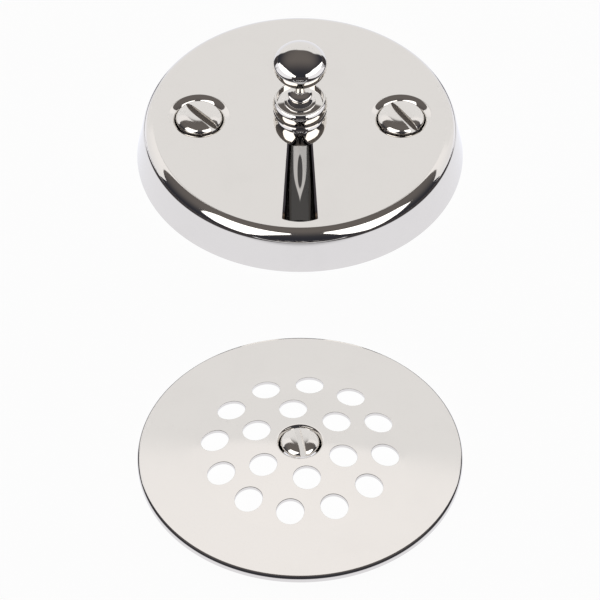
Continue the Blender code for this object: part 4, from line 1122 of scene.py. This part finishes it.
def floor_finish():
    """Pale floor with the pieces' faint shadow: white to the camera outside the plate's hollow, pale or dark
    in mirror images.

    It mirrors pale near the two plates and behind them, and dark elsewhere. In the plate's hollow it is
    painted dark, to the camera and in mirror images, as painted shadow. It is clear from below."""
    material = bpy.data.materials.new("pale_floor")
    nodes = Nodes(material)
    camera, glossy, through = (nodes.add("ShaderNodeLightPath", output=index) for index in (0, 3, 6))
    seen = camera.math("ADD", glossy + through, clamp=True)
    shade = nodes.add("ShaderNodeBsdfDiffuse", None, {"Color": (*sizes("drain_looks").floor, 1.0)})
    at = nodes.place()
    from_plate = nodes.vector_math("DISTANCE", at, (0, 0, 0))
    from_strainer = nodes.vector_math("DISTANCE", at, (0, STRAINER_Y, 0))
    behind = (nodes.part(at, 1) - nodes.part(at, 0).math("ABSOLUTE")).ramp(*BEHIND)
    near = (1 - from_plate.ramp(*PLATE_WHITE)).math("MAXIMUM", 1 - from_strainer.ramp(*STRAINER_WHITE))
    # Painted shadow: the floor's mirror image is dark in the plate's hollow
    near = near.math("MAXIMUM", behind) * from_plate.ramp(*PAINTED_HOLLOW_SHADOW)
    reflected = nodes.colour_mix(near, DARK_TINT, NEAR_TINT)
    # Painted shadow: to the camera the floor is white, and painted dark in the plate's hollow
    white_with_painted_shadow = nodes.colour_mix(from_plate.ramp(*PAINTED_HOLLOW_SHADOW), DARK_TINT, (FLOOR_GLOW,) * 3)
    whole = nodes.colour_mix(camera, reflected, white_with_painted_shadow)
    white = nodes.add("ShaderNodeEmission", None, {"Color": whole, "Strength": 1.0})
    lit = nodes.blend(seen * FLOOR_SHARE, shade, white)
    under = nodes.add("ShaderNodeNewGeometry", output=6)
    clear = nodes.add("ShaderNodeBsdfTransparent")
    nodes.add_output(nodes.blend(under, lit, clear))
    return material


def studio_camera():
    """The photograph's view: a long lens above and in front of the two plates."""
    data = bpy.data.cameras.new("camera")
    data.lens, data.sensor_width = LENS, SENSOR
    data.clip_end = 20.0
    camera = bpy.data.objects.new("camera", data)
    camera.location = CAMERA_PLACE
    camera.rotation_euler = (math.radians(CAMERA_TILT), 0, 0)
    bpy.context.scene.collection.objects.link(camera)
    bpy.context.scene.camera = camera


class BATHDRAIN_OT_stage(bpy.types.Operator):
    """Sets up the pale floor, the studio light and the camera"""
    bl_idname = "bath_drain.stage"
    bl_label = "Stage"

    def execute(self, context):
        context.scene.view_settings.view_transform = "Standard"
        studio_world()
        studio_camera()
        corners = np.array([(-1, -1, 0), (1, -1, 0), (1, 1, 0), (-1, 1, 0)]) * FLOOR_HALF + (0, 0, FLOOR_Z)
        floor = mesh_piece("floor", [(corners, [[0, 1, 2, 3]])])
        floor.data.materials.append(floor_finish())
        return {"FINISHED"}


class BATHDRAIN_OT_panels(bpy.types.Operator):
    """Hangs the soft boxes and boards round the finished pieces"""
    bl_idname = "bath_drain.panels"
    bl_label = "Soft boxes"

    def execute(self, context):
        studio_panels(context)
        return {"FINISHED"}


class BATHDRAIN_OT_face_plate(bpy.types.Operator):
    """Builds the overflow face plate"""
    bl_idname = "bath_drain.face_plate"
    bl_label = "Face plate"

    def execute(self, context):
        piece = mesh_piece("overflow_face", face_plate_parts())
        finish = nickel_finish("face_nickel", FACE_NICKEL)
        dress(piece, finish, "plate", "polished_nickel", "face_plate")
        return {"FINISHED"}


class BATHDRAIN_OT_strainer(bpy.types.Operator):
    """Builds the bath strainer"""
    bl_idname = "bath_drain.strainer"
    bl_label = "Strainer"

    def execute(self, context):
        piece = mesh_piece("bath_strainer", strainer_parts())
        finish = nickel_finish("strainer_nickel", STRAINER_NICKEL, (0, STRAINER_Y, 0))
        dress(piece, finish, "plate", "polished_nickel", "strainer_plate")
        return {"FINISHED"}


class BATHDRAIN_OT_lever(bpy.types.Operator):
    """Builds the lever's arm, the collar and the knob"""
    bl_idname = "bath_drain.lever"
    bl_label = "Lever, collar and knob"

    def execute(self, context):
        # The arm's colour carries painted shade over the whole arm and a painted reflection in a V
        finish = nickel_finish("lever_nickel", ARM_NICKEL, tuple(PIVOT), ARM_PAINTED_SHADE_SHARE, painted_arm_reflection)
        dress(lever_arm(), finish, "lever", "polished_nickel", "lever_arm")
        turned_nickel = nickel_finish("knob_nickel", KNOB_NICKEL, (0, KNOB_Y, FACE_Z))
        for name, node, profile in (("trip_knob", "knob", knob_profile()),
                                    ("collar", "knob_collar", collar_profile())):
            piece = mesh_piece(name, [on_knob_axis(profile)])
            dress(piece, turned_nickel, "lever", "polished_nickel", node)
            piece.visible_glossy = False
        return {"FINISHED"}


class BATHDRAIN_OT_screws(bpy.types.Operator):
    """Builds the three slotted oval head screws"""
    bl_idname = "bath_drain.screws"
    bl_label = "Oval head screws"

    def execute(self, context):
        plate, screws = sizes("drain_plate"), sizes("drain_screws")
        finish = nickel_finish("screw_nickel", SCREW_NICKEL)
        face = (screws.face_head, screws.face_shank, screws.face_oval, screws.face_slot, screws.face_cut)
        half = plate.screw_spacing / 2
        for node, x in (("face_screw_left", -half), ("face_screw_right", half)):
            at = (x, plate.screw_rise, FACE_Z - screws.face_sink)
            piece = set_screw("oval_" + node, face, at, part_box(node)[0].z, SCREW_TURNS[node])
            dress(piece, finish, "plate", "nickel_screw", node)
        small = (screws.strainer_head, screws.strainer_shank, screws.strainer_oval, screws.strainer_slot,
                 screws.strainer_cut)
        at = (0, STRAINER_Y, float(dome_height(screws.strainer_head)) - screws.strainer_sink)
        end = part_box("strainer_screw")[0].z
        piece = set_screw("oval_strainer_screw", small, at, end, SCREW_TURNS["strainer_screw"])
        dress(piece, finish, "plate", "nickel_screw", "strainer_screw")
        return {"FINISHED"}


class BATHDRAIN_OT_works(bpy.types.Operator):
    """Finishes the pieces behind the face plate: bracket, pin, washers, nuts, spring and cotter"""
    bl_idname = "bath_drain.works"
    bl_label = "Works behind the plate"

    def execute(self, context):
        looks = sizes("drain_looks")
        steel, brass, bronze = tuple(looks.steel), tuple(looks.brass), tuple(looks.bronze)
        finishes = {
            "pivot_bracket": sheet_finish("bracket_steel", steel, 0.22),
            "bracket_washer_left": sheet_finish("washer_steel", tinted(steel, 0.85), 0.3, (1.0, 1.0, 0.1)),
            "bracket_nut_left": turned_finish("nut_brass", brass, 0.2),
            "pivot_pin": turned_finish("pin_steel", steel, 0.14, "X"),
            "pivot_clip": sheet_finish("clip_steel", tuple(looks.spring_steel), 0.28, (0.1, 1.0, 1.0)),
            "friction_washer_left": sheet_finish("washer_bronze", bronze, 0.26, (0.1, 1.0, 1.0)),
            "friction_spring": sheet_finish("spring_bronze", bronze, 0.2),
            "spring_rivet": turned_finish("rivet_brass", brass, 0.22),
            "knob_stud": turned_finish("stud_brass", brass, 0.2),
            "linkage_cotter": turned_finish("cotter_brass", tinted(brass, 0.9), 0.22, "X"),
        }
        for like in ("bracket_washer", "bracket_nut", "friction_washer"):
            finishes[like + "_right"] = finishes[like + "_left"]
        for node, finish in finishes.items():
            piece = frame["nodes"][node]
            for slot in piece.material_slots:
                slot.material = finish
        frame["nodes"]["knob_stud"].visible_glossy = False
        return {"FINISHED"}


class BATHDRAIN_PT_panel(bpy.types.Panel):
    """Sizes, colours and pieces of the trip lever bath drain"""
    bl_idname = "BATHDRAIN_PT_panel"
    bl_label = "Trip lever bath drain"
    bl_space_type = "VIEW_3D"
    bl_region_type = "UI"
    bl_category = "Bath Drain"

    def draw(self, context):
        for operator in OPERATORS:
            self.layout.operator(operator.bl_idname)
        for name in GROUPS:
            box = self.layout.box()
            group = getattr(context.scene, name)
            for field in group.__annotations__:
                box.prop(group, field)


OPERATORS = (BATHDRAIN_OT_stage, BATHDRAIN_OT_face_plate, BATHDRAIN_OT_strainer, BATHDRAIN_OT_lever,
             BATHDRAIN_OT_screws, BATHDRAIN_OT_works, BATHDRAIN_OT_panels)
GROUPS = {"drain_plate": PlateSizes, "drain_screws": ScrewSizes, "drain_strainer": StrainerSizes,
          "drain_lever": LeverSizes, "drain_knob": KnobSizes, "drain_looks": NickelLooks,
          "drain_light": StageLight}


def register():
    """Registers the sizes, the operators and the panel."""
    for group in GROUPS.values():
        bpy.utils.register_class(group)
    for name, group in GROUPS.items():
        setattr(bpy.types.Scene, name, PointerProperty(type=group))
    for kind in (*OPERATORS, BATHDRAIN_PT_panel):
        bpy.utils.register_class(kind)


def unregister():
    """Takes them away again."""
    for kind in (BATHDRAIN_PT_panel, *reversed(OPERATORS)):
        bpy.utils.unregister_class(kind)
    for name, group in GROUPS.items():
        delattr(bpy.types.Scene, name)
        bpy.utils.unregister_class(group)


def main():
    """Builds the stage and every piece."""
    register()
    bpy.ops.bath_drain.stage()
    bpy.ops.bath_drain.face_plate()
    bpy.ops.bath_drain.strainer()
    bpy.ops.bath_drain.lever()
    bpy.ops.bath_drain.screws()
    bpy.ops.bath_drain.works()
    bpy.ops.bath_drain.panels()


if __name__ == "__main__":
    main()
